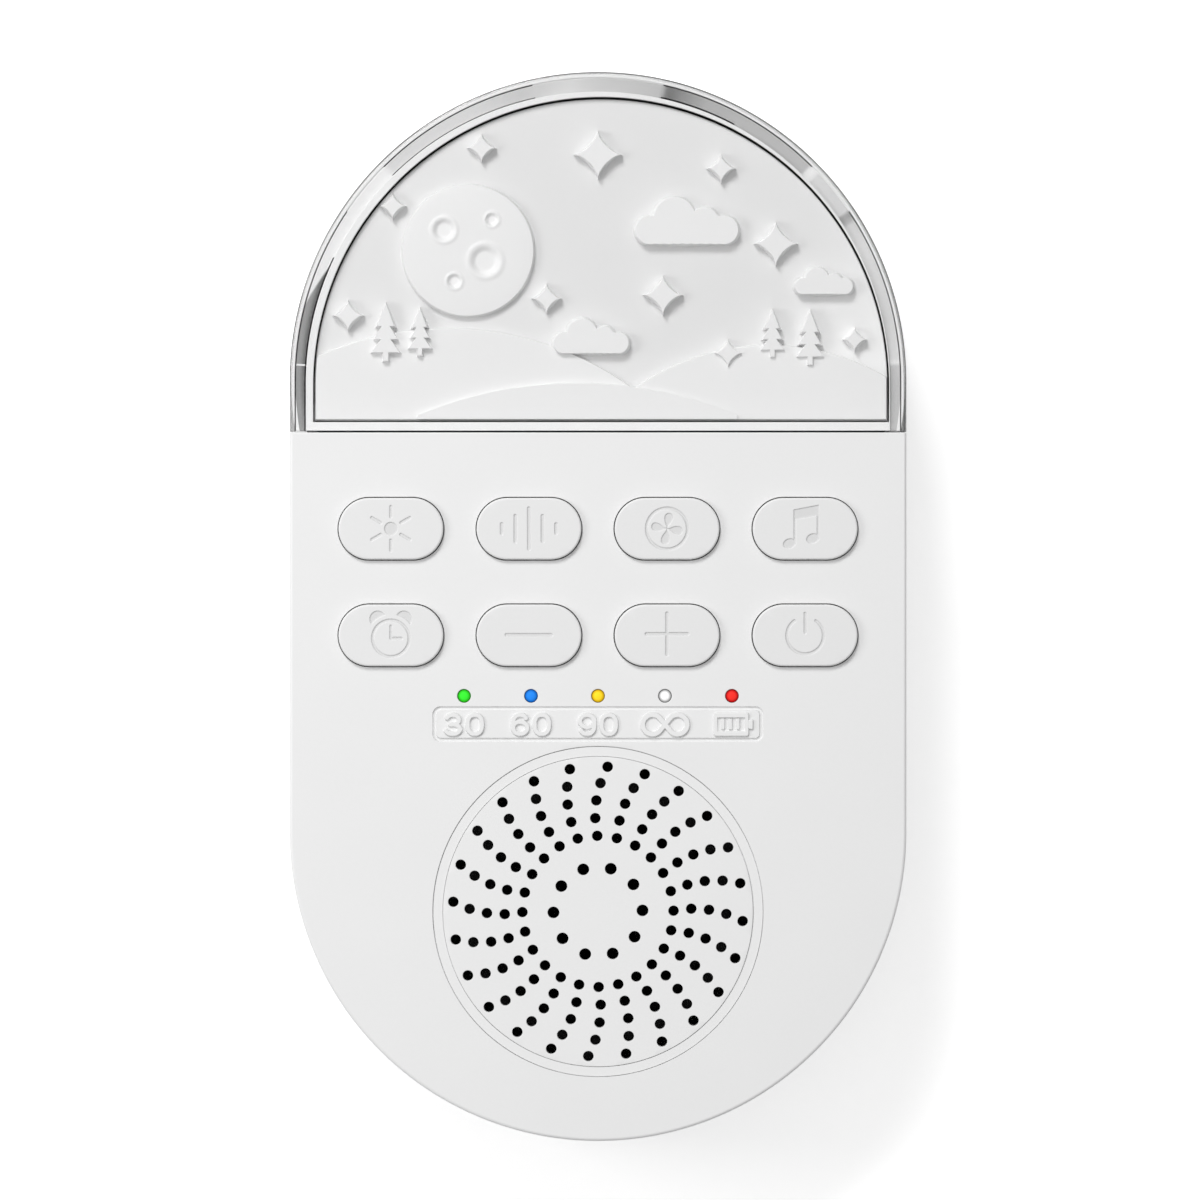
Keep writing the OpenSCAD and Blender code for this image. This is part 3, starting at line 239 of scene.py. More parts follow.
def symbol_shade_share(r):
    """1 on the floors of the sunk symbols, where a painted shade darkens the cap: low, and near the
    middle line of a cap. The eight caps stand on a grid, so the remainder of x over its pitch does for
    all of them."""
    x, y, z = r.coordinates()
    u = (x * (1 / COLUMN) + 2).math("FRACT") * COLUMN - COLUMN / 2
    u = (u.math("ABSOLUTE") - (CAP_L - CAP_H) / 2).math("MAXIMUM")
    v = (y - (ROWS[0] + ROWS[1]) / 2).math("ABSOLUTE") - (ROWS[0] - ROWS[1]) / 2
    away = r.length(r.node("CombineXYZ", {0: u, 1: v}))
    return step(z, CAP_TOP - 0.02, CAP_TOP - 0.1) * step(away, SYMBOL_R + 0.05, SYMBOL_R - 0.05)


print("masks: the field and the symbols")


# %% The painted reflections and shade on the frame's flange
def from_dome(r):
    """Distance from the dome's middle in millimetres, and half turns from its right foot to its left."""
    x, y = r.coordinates("XY", (0, ARC_Y))
    return r.away((0, ARC_Y)), y.math("MAXIMUM", 0.001).math("ARCTAN2", x) * (1 / math.pi)


def gap_shade_share(r):
    """1 down in the gap between the plate and its frame, whose sides hardly see any light; they get a
    painted shade.
    """
    (z,) = r.coordinates("Z")
    beside = step(r.away(HOLE_AT), HOLE_R + 0.12, HOLE_R + 0.06)
    return step(z, RIM_TOP - 0.6, RIM_TOP - 0.9) * beside


def painted_flange_share(r):
    """1 where painted reflections and shade go: on the frame's flange, between its rim and the ring
    outside it, and down in the plate's gap.
    """
    away, (z,) = r.away((0, ARC_Y)), r.coordinates("Z")
    band = step(away, FLANGE_IN, FLANGE_IN + 0.05) * step(away, FLANGE_OUT, FLANGE_OUT - 0.05)
    upper, lower = RIM_TOP - 0.3, RIM_TOP - FLANGE_DEEP
    return band * step(z, upper, upper - 0.1) * step(z, lower, lower + 0.3) + gap_shade_share(r)


# Half turns round the dome, and the painted reflection's grey at each. The greys between are mixed.
FLANGE_PAINTED_GREYS = [
    (0, 0.6), (0.0175, 0.66), (0.018, 1), (0.0195, 1), (0.02, 0.84), (0.067, 0.76), (0.15, 0.82),
    (0.179, 0.72), (0.18, 0.4), (0.19, 0.4), (0.191, 0.76), (0.24, 0.78), (0.243, 1), (0.25, 0.95),
    (0.253, 0.55), (0.33, 0.52), (0.38, 0.46), (0.425, 0.13), (0.432, 0.56), (0.5, 0.66),
    (0.533, 0.76), (0.583, 0.63), (0.64, 0.75), (0.745, 0.75), (0.752, 0.95), (1, 0.9),
]  # fmt: skip
WEDGE_AT, TICK_AT = 0.864, 0.983


def flange_painted_light(r):
    """The flange's painted reflections, a dark wedge from its left foot with a tick in it, and a black
    painted shade in the gap.
    """
    away, turn = from_dome(r)
    # Painted reflections: a grey for each half turn round the dome, with a dark wedge and a tick.
    tone = r.node("ValToRGB", {0: turn}, stops=[(at, [grey] * 3) for at, grey in FLANGE_PAINTED_GREYS])
    tick = step((turn - TICK_AT).math("ABSOLUTE"), 0.0008, 0.0012)
    wedge = step(turn - 0.03 * (away - 42.6), WEDGE_AT, WEDGE_AT + 0.012)
    tone = r.between(wedge * tick, tone, r.between(step(away, 42.7, 43.8), 0.05, 0.3))
    tone = r.between(0.3 * r.noise(0.35), tone, 0.42)
    # Painted shade: nearly black down in the gap between plate and frame.
    return r.between(gap_shade_share(r), tone, 0.02)


print(len(FLANGE_PAINTED_GREYS), "greys round the flange")


# %% The white finishes
def white_plastic(name, pale, dull, grain, depth, gloss, painted_tone=None, share=None):
    """White plastic: two grains mixed, a slow drift of tone, and a sheen that follows the grain.
    A share says where a painted tone, for painted light or shade, takes over."""
    r = Recipe(name)
    fine, coarse, drift = r.noise(grain), r.noise(grain * 2.3), r.noise(14)
    pores = 0.6 * fine + 0.4 * coarse
    tone = r.between(0.5 * pores + 0.5 * drift, dull, pale)
    if share:
        tone = r.between(share(r), tone, painted_tone(r) if callable(painted_tone) else painted_tone)
    shader = r.principled(
        Base_Color=tone,
        Roughness=gloss + 0.12 * pores,
        Normal=r.bump(pores, depth),
        IOR=1.46,
        Specular_IOR_Level=0.35,
    )
    return r.finish(shader)


shell_white = white_plastic("shell_white", 0.83, 0.79, 0.38, 0.009, 0.46)
# The second tones are painted: shade on the caps' symbol floors, shade and light on the plate's field,
# reflections and shade on the frame's flange and in its gap.
cap_white = white_plastic("cap_white", 0.795, 0.765, 0.42, 0.005, 0.40, 0.685, symbol_shade_share)
relief_white = white_plastic("relief_white", 0.91, 0.88, 0.5, 0.004, 0.42, field_painted_light, field_shade_share)
frame_white = white_plastic("frame_white", 0.91, 0.87, 0.4, 0.006, 0.44, flange_painted_light, painted_flange_share)
print("white finishes:", shell_white.name, cap_white.name, relief_white.name, frame_white.name)

# %% [markdown]
# ## Clear plastic
#
# The cover is clear acrylic. Its rounded edge bends what lies under it, so it is real refracting glass
# to the eye. Light from the lamps and light that bounces off the plate go straight through it, though.
# That is nearly what a flat pane does, and it keeps the plate evenly lit. The rounded edge is darker: a
# painted shade in its colour, deepest on the left, stands for the dark that the eye sees looking far
# along the plastic there. Fine haze and wipe marks show in the roughness.


# %% The clear finish
CLEAR_EDGE = 44.75


def clear_pane(name):
    """Refracting acrylic for the eye, straight-through for shadow and diffuse rays, with a painted shade
    along its rounded edge, deepest on the left.
    """
    r = Recipe(name)
    haze = r.noise(6.0, 3.0)
    away, turn = from_dome(r)
    (z,) = r.coordinates("Z")
    # Painted shade: a dark band in the colour along the rounded top edge, darker towards the left foot.
    edge = step(z, FACE - 0.4, FACE - 0.3) * step(away, CLEAR_EDGE - 0.07, CLEAR_EDGE + 0.07)
    tone = r.between(edge, 0.99, r.between(step(turn, 0.78, 0.9), 0.09, 0.3))
    seen = r.principled(Base_Color=tone, Roughness=0.012 * haze, IOR=1.49, Transmission_Weight=1.0)
    open_air = r.node("BsdfTransparent", {"Color": (0.97, 0.97, 0.97, 1)})
    for kind in ("Diffuse", "Shadow"):
        seen = r.node("MixShader", {0: r.ray(kind), 1: seen, 2: open_air})
    return r.finish(seen)


clear_plastic = clear_pane("clear_plastic")
print("clear finish:", clear_plastic.name)

# %% [markdown]
# ## Skins
#
# Every piece made here is a closed skin. It is gathered from three kinds of sheet: a grid, which is a
# function of two parameters worked out as one numpy array; a profile carried along a line, which is a
# grid too; and a flat sheet with holes, which a Delaunay triangulation fills. The sheets meet in equal
# points, and welding those closes the skin.


# %% The skin helper
class Skin:
    """Gathers the sheets of one closed skin, in millimetres."""

    def __init__(self):
        self.points, self.faces, self.total = [], [], 0

    def add(self, points, faces):
        """Adds points and the faces that index them."""
        self.points.append(np.asarray(points, float).reshape(-1, 3))
        self.faces += (np.asarray(faces, int) + self.total).tolist()
        self.total += len(self.points[-1])

    def grid(self, p, round_u=False, round_v=False):
        """Quads between neighbours (i, j), (i+1, j), (i+1, j+1) and (i, j+1) of a grid of points."""
        nu, nv = p.shape[:2]
        i = np.arange(nu if round_u else nu - 1)[:, None]
        j = np.arange(nv if round_v else nv - 1)[None, :]
        i2, j2 = (i + 1) % nu, (j + 1) % nv
        self.add(p, np.stack([i * nv + j, i2 * nv + j, i2 * nv + j2, i * nv + j2], -1).reshape(-1, 4))

    def flat(self, loops, at, axis=2):
        """Triangles inside the first loop and outside the others, at one value of an axis."""
        loops = [distinct(np.asarray(loop, float)) for loop in loops]
        ends = np.cumsum([0] + [len(loop) for loop in loops])
        plan = np.concatenate(loops)
        rings = [list(range(a, b)) for a, b in zip(ends[:-1], ends[1:])]
        made = delaunay_2d_cdt([Vector(p) for p in plan], [], rings, 0, 1e-6)
        kept = [face for face, owners in zip(made[2], made[5]) if list(owners) == [0]]
        own = [plan[owners[0]] if owners else spot for spot, owners in zip(made[0], made[3])]
        self.add(lifted(np.array(own), at, axis), kept)


def distinct(loop):
    """The loop without points that repeat the one before, turned to run counter-clockwise."""
    loop = loop[np.linalg.norm(loop - np.roll(loop, 1, 0), axis=1) > 1e-6]
    ahead = np.roll(loop, -1, 0)
    return loop if np.sum(loop[:, 0] * ahead[:, 1] - loop[:, 1] * ahead[:, 0]) > 0 else loop[::-1]


def lifted(points, at, axis=2):
    """Flat points put in space, where the axis 0, 1 or 2 has one value all over."""
    return np.insert(points, axis, at, axis=1)


print("a skin takes grids and flat sheets")


# %% Lines, and sections carried along them
def carry(line, out, section):
    """Each point of the line moved outwards by the section's offsets and raised to its heights. The
    section may be one list of such pairs, or a list for each point."""
    section = np.broadcast_to(section, (len(line), *np.shape(section)[-2:]))
    return np.concatenate([line[:, None] + out[:, None] * section[..., :1], section[..., 1:]], -1)


def directions(angle):
    """Unit directions at angles in radians."""
    return np.column_stack([np.cos(angle), np.sin(angle)])


def bend(centre, radius, start, end, count=6):
    """Points at the radius round a centre, from one angle to another in degrees."""
    return np.asarray(centre) + radius * directions(np.radians(np.linspace(start, end, count + 1)))


def ring(radius, count, centre=(0, 0)):
    """A circle's points, and the directions out of its centre."""
    out = directions(np.linspace(0, 2 * np.pi, count, endpoint=False))
    return np.asarray(centre) + radius * out, out


def rounded_box(length, height, radius, per_corner, centre):
    """Four quarter circles joined by straight sides, and the directions of their radii."""
    quarters = [np.linspace(k, k + 1, per_corner + 1) for k in range(4)]
    out = directions(np.concatenate(quarters) * np.pi / 2)
    corner = np.repeat([[1, 1], [-1, 1], [-1, -1], [1, -1]], per_corner + 1, axis=0)
    half = np.array([length / 2 - radius, height / 2 - radius])
    return np.asarray(centre) + corner * half + radius * out, out


def smooth(x):
    """0 up to 0, 1 from 1 on, and 3x² - 2x³ between."""
    x = np.clip(x, 0, 1)
    return x * x * (3 - 2 * x)


print("lines and sections are ready")


# %% From a skin to a piece
def placed(name, data, at=(0, 0, 0)):
    """A new object in the scene, at a place."""
    made = bpy.data.objects.new(name, data)
    made.location = at
    bpy.context.scene.collection.objects.link(made)
    return made


def build(skin, name, finish, body, slot, *stands_for, sharp=32):
    """Welds the skin, points it outwards, shades it, hangs it on its body and hides the parts it stands
    for.
    """
    mesh = bpy.data.meshes.new(name)
    mesh.from_pydata((np.concatenate(skin.points) * MM).tolist(), [], skin.faces)
    work = bmesh.new()
    work.from_mesh(mesh)
    bmesh.ops.remove_doubles(work, verts=work.verts, dist=2e-6)
    bmesh.ops.recalc_face_normals(work, faces=work.faces)
    open_edges = sum(len(edge.link_faces) != 2 for edge in work.edges)
    work.to_mesh(mesh)
    work.free()
    mesh.shade_smooth()
    mesh.set_sharp_from_angle(angle=math.radians(sharp))
    mesh.materials.append(finish)
    piece = placed(name, mesh)
    even = piece.modifiers.new("even_normals", "WEIGHTED_NORMAL")
    even.keep_sharp, even.weight = True, 60
    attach(piece, body)
    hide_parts(*stands_for)
    triangles = sum(len(p.vertices) - 2 for p in mesh.polygons)
    print(f"{name}: {triangles} triangles, {open_edges} open edges")


print("pieces can be built")

# %% [markdown]
# ## Drawing with distances
#
# The scale's digits and the symbols on the caps are shallow relief in flat faces. Each is drawn as a
# distance: how far a point is from a stroke, less than zero inside it. The height then follows from
# that distance by a smooth step, which gives moulded edges instead of cut ones.


# %% Distances to strokes
def to_path(x, y, path):
    """Distance from each point to the nearest straight piece of a path."""
    path = np.asarray(path, float)
    best = np.full(x.shape, 1e9)
    for (ax, ay), (bx, by) in zip(path[:-1], path[1:]):
        dx, dy = bx - ax, by - ay
        along = np.clip(((x - ax) * dx + (y - ay) * dy) / (dx * dx + dy * dy + 1e-12), 0, 1)
        best = np.minimum(best, np.hypot(x - ax - along * dx, y - ay - along * dy))
    return best


def strokes(x, y, half, *paths):
    """Distance to the nearest of some strokes, which all have one half width."""
    return np.min([to_path(x, y, path) for path in paths], axis=0) - half


def oval(centre, half_w, half_h, start, end, count, square=2.0):
    """Points of an ellipse from one angle to another in degrees, squarer as the power grows."""
    out = directions(np.radians(np.linspace(start, end, count + 1)))
    return centre + np.array([half_w, half_h]) * np.sign(out) * np.abs(out) ** (2 / square)


def to_polygon(x, y, corners):
    """Distance to a closed outline, less than zero inside it."""
    corners = np.asarray(corners, float)
    closed = np.vstack([corners, corners[:1]])
    inside = np.zeros(x.shape, bool)
    for (ax, ay), (bx, by) in zip(closed[:-1], closed[1:]):
        inside ^= ((ay > y) != (by > y)) & (x < (bx - ax) * (y - ay) / (by - ay + 1e-12) + ax)
    away = to_path(x, y, closed)
    return np.where(inside, -away, away)


def to_box(x, y, half_w, half_h, radius, centre=(0, 0)):
    """Distance to a rounded box, less than zero inside it."""
    qx = np.abs(x - centre[0]) - half_w + radius
    qy = np.abs(y - centre[1]) - half_h + radius
    outside = np.hypot(np.maximum(qx, 0), np.maximum(qy, 0))
    return outside + np.minimum(np.maximum(qx, qy), 0) - radius


def field_patch(skin, x, y, height, centre=(0, 0)):
    """A grid of heights over crossing lines x and y. Gives the loop round its border."""
    gx, gy = np.meshgrid(x, y, indexing="ij")
    skin.grid(np.stack([gx + centre[0], gy + centre[1], height(gx, gy)], -1))
    sides = [(x, y[:1]), (x[-1:], y), (x[::-1], y[-1:]), (x[:1], y[::-1])]
    edge = [np.stack(np.broadcast_arrays(*side), -1)[:-1] for side in sides]
    return np.concatenate(edge) + np.asarray(centre)


print("drawing helpers are ready")

# %% [markdown]
# ## The scale
#
# Under the lamps stands a scale: 30, 60 and 90 minutes, a lying eight for endless play, and a battery.
# The digits stand up from the face, inside a shallow groove that runs round them as a frame. The whole
# scale is one grid of heights, because strokes that run into each other join by themselves in it.

# %% The scale's strokes
SCALE_Y, SCALE_W, SCALE_H, SCALE_R = -17.17, 48.3, 5.25, 1.25
LAMP_PITCH = 9.77
STROKE, DRAFT = 0.33, 0.13
RAISED, SCALE_DEEP, LAMP_REACH = 0.36, 0.3, 4.2

zero = [oval((0, 0), 1.06, 1.39, 0, 360, 40, 2.35)]
three = [
    oval((-0.06, 0.7), 0.92, 0.69, 158, -90, 24),
    oval((-0.06, -0.68), 1.08, 0.71, 90, -158, 24),
    [(-0.42, 0.01), (0.0, 0.01)],
]
six = [oval((0, -0.5), 1.04, 0.89, 0, 360, 32), oval((0, 0), 1.06, 1.39, 38, 205, 26, 2.35)]
nine = [-path for path in six]
PAIR = 1.58


def written(first, second):
    """The strokes of two digits side by side."""
    moved = [np.asarray(path) + (-PAIR, 0) for path in first]
    return moved + [np.asarray(path) + (PAIR, 0) for path in second]


endless = [
    oval((-1.83, 0), 1.42, 1.42, 42, 318, 36),
    oval((1.83, 0), 1.42, 1.42, -138, 138, 36),
    [(-0.78, -0.95), (0.78, 0.95)],
    [(-0.78, 0.95), (0.78, -0.95)],
]
scale_marks = {-2: written(three, zero), -1: written(six, zero), 0: written(nine, zero), 1: endless}
print("strokes:", sum(len(paths) for paths in scale_marks.values()))


# %% The scale's heights
def scale_height(x, y):
    """The face, less a groove inside the frame's outline, plus strokes that rise by a smooth step."""
    inside = -to_box(x, y, SCALE_W / 2, SCALE_H / 2, SCALE_R, (0, SCALE_Y))
    groove = smooth(inside / 0.1) * (1 - smooth((inside - 0.5) / 0.12))
    raised = np.zeros_like(x)
    for lamp, paths in scale_marks.items():
        near = np.abs(x[:, 0] - lamp * LAMP_PITCH) < LAMP_REACH
        px, py = x[near] - lamp * LAMP_PITCH, y[near] - SCALE_Y + 0.04
        away = strokes(px, py, STROKE + (0.05 if lamp == 1 else 0), *paths)
        raised[near] = np.maximum(raised[near], smooth(0.5 - away / DRAFT))
    near = np.abs(x[:, 0] - 2 * LAMP_PITCH) < LAMP_REACH
    px, py = x[near] - 2 * LAMP_PITCH + 0.1, y[near] - SCALE_Y + 0.02
    case = np.maximum(to_box(px, py, 2.55, 1.72, 0.35), -to_box(px, py, 2.0, 1.0, 0.12, (0, -0.02)))
    bars = [to_box(px, py, 0.26, 0.8, 0.08, (c, 0.05)) for c in (-1.2, -0.1, 1.0)]
    battery = np.min([case, to_box(px, py, 0.34, 0.7, 0.2, (2.85, 0)), *bars], axis=0)
    raised[near] = np.maximum(raised[near], smooth(0.5 - battery / DRAFT))
    return FACE - SCALE_DEEP * groove + RAISED * raised


print("scale:", SCALE_W, "by", SCALE_H, "mm")

# %% [markdown]
# ## The front housing
#
# One moulding makes the lower front: a wall 2 mm thick, with openings for the buttons and lamps, the
# grille's holes, and a socket opening in its right side. Cutting all that out of a solid would leave
# ragged edges, so it is laid up like sheet metal: an outer and an inner face, both with the same holes,
# and for each hole a short wall with a rounded lip that joins them.

# %% Where the openings are
KEYS = ["light", "sound", "fan", "music", "timer", "minus", "plus", "power"]
OPENING_L, OPENING_H = 15.6, 9.3
key_place = {key: np.array([(i % 4 - 1.5) * COLUMN, ROWS[i // 4]]) for i, key in enumerate(KEYS)}
LAMPS = ["green", "blue", "amber", "clear", "red"]
LAMP_Y, LAMP_HOLE_R = -13.04, 1.0
INNER_HOLE_R, ARM_HOLE_R = 0.87, 0.78
INNER_RING, ARM_CENTRE, ARM_R = 6.5, 14.0 - 14.5j, 14.9
lamp_place = {tint: np.array([(i - 2) * LAMP_PITCH, LAMP_Y]) for i, tint in enumerate(LAMPS)}


def grille_holes():
    """Ten holes in a ring, and arms of five along an arc, turned round the middle in 24 steps."""
    inner = INNER_RING * directions(np.radians(1.3 + 36 * np.arange(10)))
    along = np.radians(-11.5 + 10 * np.arange(5))
    arm = ARM_CENTRE + ARM_R * (np.sin(along) + 1j * np.cos(along))
    arms = (arm * np.exp(1j * np.radians(15 * np.arange(24)))[:, None]).ravel()
    return inner, np.column_stack([arms.real, arms.imag])


inner_holes, arm_holes = grille_holes()
print(len(inner_holes) + len(arm_holes), "grille holes")

# %% The outline and the side walls
ROUND_STEPS = 160


def lower_outline(corner):
    """Two top corners, then a half circle round the lower centre, with the directions outwards."""
    out = directions(np.linspace(np.pi, 2 * np.pi, ROUND_STEPS + 1))
    line = np.vstack([[BODY_R, COVER_Y], [-BODY_R, COVER_Y], BODY_R * out + (0, -ARC_Y)])
    return line, np.vstack([[1, corner], [-1, corner], out])


front = Skin()
EDGE = 0.5
outer_line, outer_out = lower_outline(0.5)
foot_rows = carry(outer_line, outer_out, [(-1, SEAM), (-0.12, SEAM), (0, SEAM + 0.12)])
wall_rows = carry(outer_line, outer_out, [(0, SEAM + 0.12), (0, FACE - EDGE)])
edge_rows = carry(outer_line, outer_out, bend((-EDGE, FACE - EDGE), EDGE, 0, 90))
inner_line, inner_out = lower_outline(1.0)
lip_rows = carry(inner_line, inner_out, [(-1, SEAM), (-1, LIP_TOP), (-WALL, LIP_TOP)])
back_rows = carry(inner_line, inner_out, [(-WALL, LIP_TOP), (-WALL, INSIDE)])
foot_rows[:, 0] = lip_rows[:, 0]
for rows in (foot_rows, edge_rows, lip_rows):
    front.grid(rows, round_u=True)
for rows in (wall_rows, back_rows):
    front.grid(rows)
face_outline, inside_outline = edge_rows[:, -1, :2], back_rows[:, -1, :2]
print("side walls:", front.total, "points")

# %% The socket's opening in the right side
PORT_Y, PORT_Z, PORT_W, PORT_H, PORT_R, PORT_SOFT = 3.57, 19.63, 9.44, 3.76, 1.5, 0.15


def pane(y0, y1, z0, z1):
    """A rectangle's corners."""
    return [(y0, z0), (y1, z0), (y1, z1), (y0, z1)]


port, port_out = rounded_box(PORT_W, PORT_H, PORT_R, 8, (PORT_Y, PORT_Z))
side = pane(-ARC_Y, COVER_Y, SEAM + 0.12, FACE - EDGE)
front.flat([side, port + PORT_SOFT * port_out], BODY_R, axis=0)
front.flat([pane(-ARC_Y, COVER_Y - WALL, LIP_TOP, INSIDE), port], BODY_R - WALL, axis=0)
port_edge = bend((PORT_SOFT, BODY_R - PORT_SOFT), PORT_SOFT, 120, 180, 3)
tunnel = carry(port, port_out, [(PORT_SOFT, BODY_R), *port_edge, (0, BODY_R - WALL)])
front.grid(tunnel[..., [2, 0, 1]], round_u=True)
print("socket opening:", PORT_W, "by", PORT_H, "mm")


# %% Lips, holes and the two faces
MARGIN = 0.12


def lipped(line, out, lip, steps):
    """A hole's wall, rounded over at the face, with a narrow flat margin round it that keeps the
    face's shading flat. Gives its loops in the face and behind it."""
    profile = [(lip + MARGIN, FACE), *bend((lip, FACE - lip), lip, 90, 180, steps), (0, INSIDE)]
    front.grid(carry(line, out, profile), round_u=True)
    return line + (lip + MARGIN) * out, line


key_boxes = [rounded_box(OPENING_L, OPENING_H, OPENING_H / 2, 14, key_place[key]) for key in KEYS]
key_loops = [lipped(*box, 0.06, 3) for box in key_boxes]
lamp_loops = [lipped(*ring(LAMP_HOLE_R, 32, lamp_place[tint]), 0.08, 3) for tint in LAMPS]
hole_loops = [lipped(*ring(INNER_HOLE_R, 22, GRILLE + at), 0.05, 2) for at in inner_holes]
hole_loops += [lipped(*ring(ARM_HOLE_R, 22, GRILLE + at), 0.05, 2) for at in arm_holes]
scale_x = np.linspace(-SCALE_W / 2 - 0.25, SCALE_W / 2 + 0.25, 760)
scale_y = SCALE_Y + np.linspace(-SCALE_H / 2 - 0.25, SCALE_H / 2 + 0.25, 91)
scale_loop = field_patch(front, scale_x, scale_y, scale_height)
print("faces so far:", len(front.faces))

# %% The groove round the grille, and the sheets that carry the holes
GROOVE_IN, GROOVE_OUT, GROOVE_DEEP, SOFT = 22.6, 24.14, 0.13, 0.04
groove_line, groove_out = ring(1.0, 192, GRILLE)
groove = [*(bend((GROOVE_OUT + SOFT, FACE - SOFT), SOFT, 90, 180, 3) - (1, 0))]
groove += [(GROOVE_OUT - 1, FACE - 0.42), (GROOVE_OUT - 1.09, FACE - 0.42)]
groove += [(GROOVE_OUT - 1.11, FACE - GROOVE_DEEP), (GROOVE_IN - 0.91, FACE - GROOVE_DEEP)]
groove += [(GROOVE_IN - 0.92, FACE - 0.36), (GROOVE_IN - 1, FACE - 0.36)]
groove += [*(bend((GROOVE_IN - SOFT, FACE - SOFT), SOFT, 0, 90, 3) - (1, 0))]
grille_groove = carry(groove_line, groove_out, groove)
front.grid(grille_groove, round_u=True)
openings = [*key_loops, *lamp_loops]
in_face = [loop for loop, _ in openings]
front.flat([face_outline, *in_face, scale_loop, grille_groove[:, 0, :2]], FACE)
front.flat([grille_groove[:, -1, :2], *[loop for loop, _ in hole_loops]], FACE)
front.flat([inside_outline, *[loop for _, loop in openings + hole_loops]], INSIDE)
print("faces with both sheets:", len(front.faces))

# %% [markdown]
# Inside, screw bosses and a collar that centres the speaker stand on the back of the wall, with their
# foot sunk into it, as a moulding's ribs run into it. The outermost holes lie over the collar, so it
# is hollowed out under them.

# %% Bosses and the collar
BOSSES = [(40, 20.4), (40, -27), (28.28, -61.28)]
ROOT = INSIDE + 0.3
BORE_R, BOSS_R, BOSS_FOOT = 1.05, 3.4, 12.1
boss = [(BORE_R, ROOT), (BOSS_R, ROOT), (BOSS_R, BOSS_FOOT + 0.2), (BOSS_R - 0.2, BOSS_FOOT)]
boss += [(BORE_R + 0.25, BOSS_FOOT), (BORE_R, BOSS_FOOT + 0.25)]
for x, y in [(side * x, y) for x, y in BOSSES for side in (1, -1)]:
    front.grid(carry(*ring(0.0, 24, (x, y)), boss), round_u=True, round_v=True)
COLLAR_IN, COLLAR_OUT, COLLAR_FOOT = 20.1, 21.3, 22.0
around = np.linspace(0, 2 * np.pi, 960, endpoint=False)
last_hole = arm_holes[4]
off = (around - np.arctan2(last_hole[1], last_hole[0]) + np.pi / 24) % (np.pi / 12) - np.pi / 24
off_x, off_y = np.hypot(*last_hole) * np.cos(off), np.hypot(*last_hole) * np.sin(off)
gap = np.sqrt(np.maximum((ARM_HOLE_R + 0.08) ** 2 - off_y**2, 0))
outer = np.where(gap > 0, np.minimum(COLLAR_OUT, off_x - gap), COLLAR_OUT)
inner = np.full(960, COLLAR_IN)
section = [(inner, ROOT), (outer, ROOT), (outer, COLLAR_FOOT + 0.08), (outer - 0.08, COLLAR_FOOT)]
section += [(inner + 0.08, COLLAR_FOOT), (inner, COLLAR_FOOT + 0.08)]
collar = [lifted(GRILLE + r[:, None] * directions(around), z) for r, z in section]
front.grid(np.stack(collar, 1), round_u=True, round_v=True)
build(front, "front_shell", shell_white, "housing", "shell_white", "front_housing")

# %% [markdown]
# ## The button caps
#
# A cap is a stadium with a soft rim, a flange that keeps it in its opening, a hollow underside and a
# post that reaches the switch. Its symbol is slightly sunk. The middle of the top is a fine grid of
# heights for the symbol, and a flat ring joins that patch to the rim.


# %% The eight symbols, as distances
def sun(x, y):
    """A disc and six rays."""
    rays = [(1.7 * out, 3.2 * out) for out in directions(np.radians(90 + 60 * np.arange(6)))]
    return np.minimum(np.hypot(x, y) - 0.94, strokes(x, y, 0.2, *rays))


def fan_wheel(x, y):
    """A thin ring round four blades, each the outline of discs that grow along a bent path."""
    t = np.linspace(0, 1, 14)
    path_x, path_y = 0.02 + 0.1 * t + 0.16 * t**2, 0.12 + 1.55 * t
    blade = list(zip(path_x, path_y, 0.07 + 0.52 * smooth(t * 1.05)))
    shapes = [np.abs(np.hypot(x, y) - 2.99) - 0.19]
    for c, s in ((1, 0), (0, 1), (-1, 0), (0, -1)):
        shapes += [np.hypot(x - c * a - s * b, y + s * a - c * b) - r for a, b, r in blade]
    return np.min(shapes, axis=0)


def notes(x, y):
    """Two note heads, their stems and the slanted beam that joins them."""
    shapes = [strokes(x, y, 0.14, [(-1.52, -2.2), (-1.52, 2.6)], [(1.86, -1.5), (1.86, 3.3)])]
    for hx, hy in ((-2.3, -2.16), (1.1, -1.42)):
        u, v = (x - hx) * 0.94 + (y - hy) * 0.34, -(x - hx) * 0.34 + (y - hy) * 0.94
        shapes.append((np.hypot(u / 0.92, v / 0.68) - 1) * 0.68)
    shapes.append(to_polygon(x, y, [(-1.66, 2.75), (-1.66, 1.3), (2.0, 1.95), (2.0, 3.45)]))
    return np.min(shapes, axis=0)


def alarm_clock(x, y):
    """A ring with two hands, and over it two bells, each what a disc has outside another."""
    cy = y + 0.45
    hands = strokes(x, cy, 0.18, [(0, 1.78), (0, 0), (1.56, 0)])
    bells = [np.maximum(np.hypot(x - a, cy - 2.83) - 1.17, 3.5 - np.hypot(x, cy)) for a in (-1.9, 1.9)]
    return np.min([np.abs(np.hypot(x, cy) - 2.66) - 0.18, hands, *bells], axis=0)


def drawn(half, *paths):
    """A symbol that is only strokes, all of one half width."""
    return lambda x, y: strokes(x, y, half, *paths)


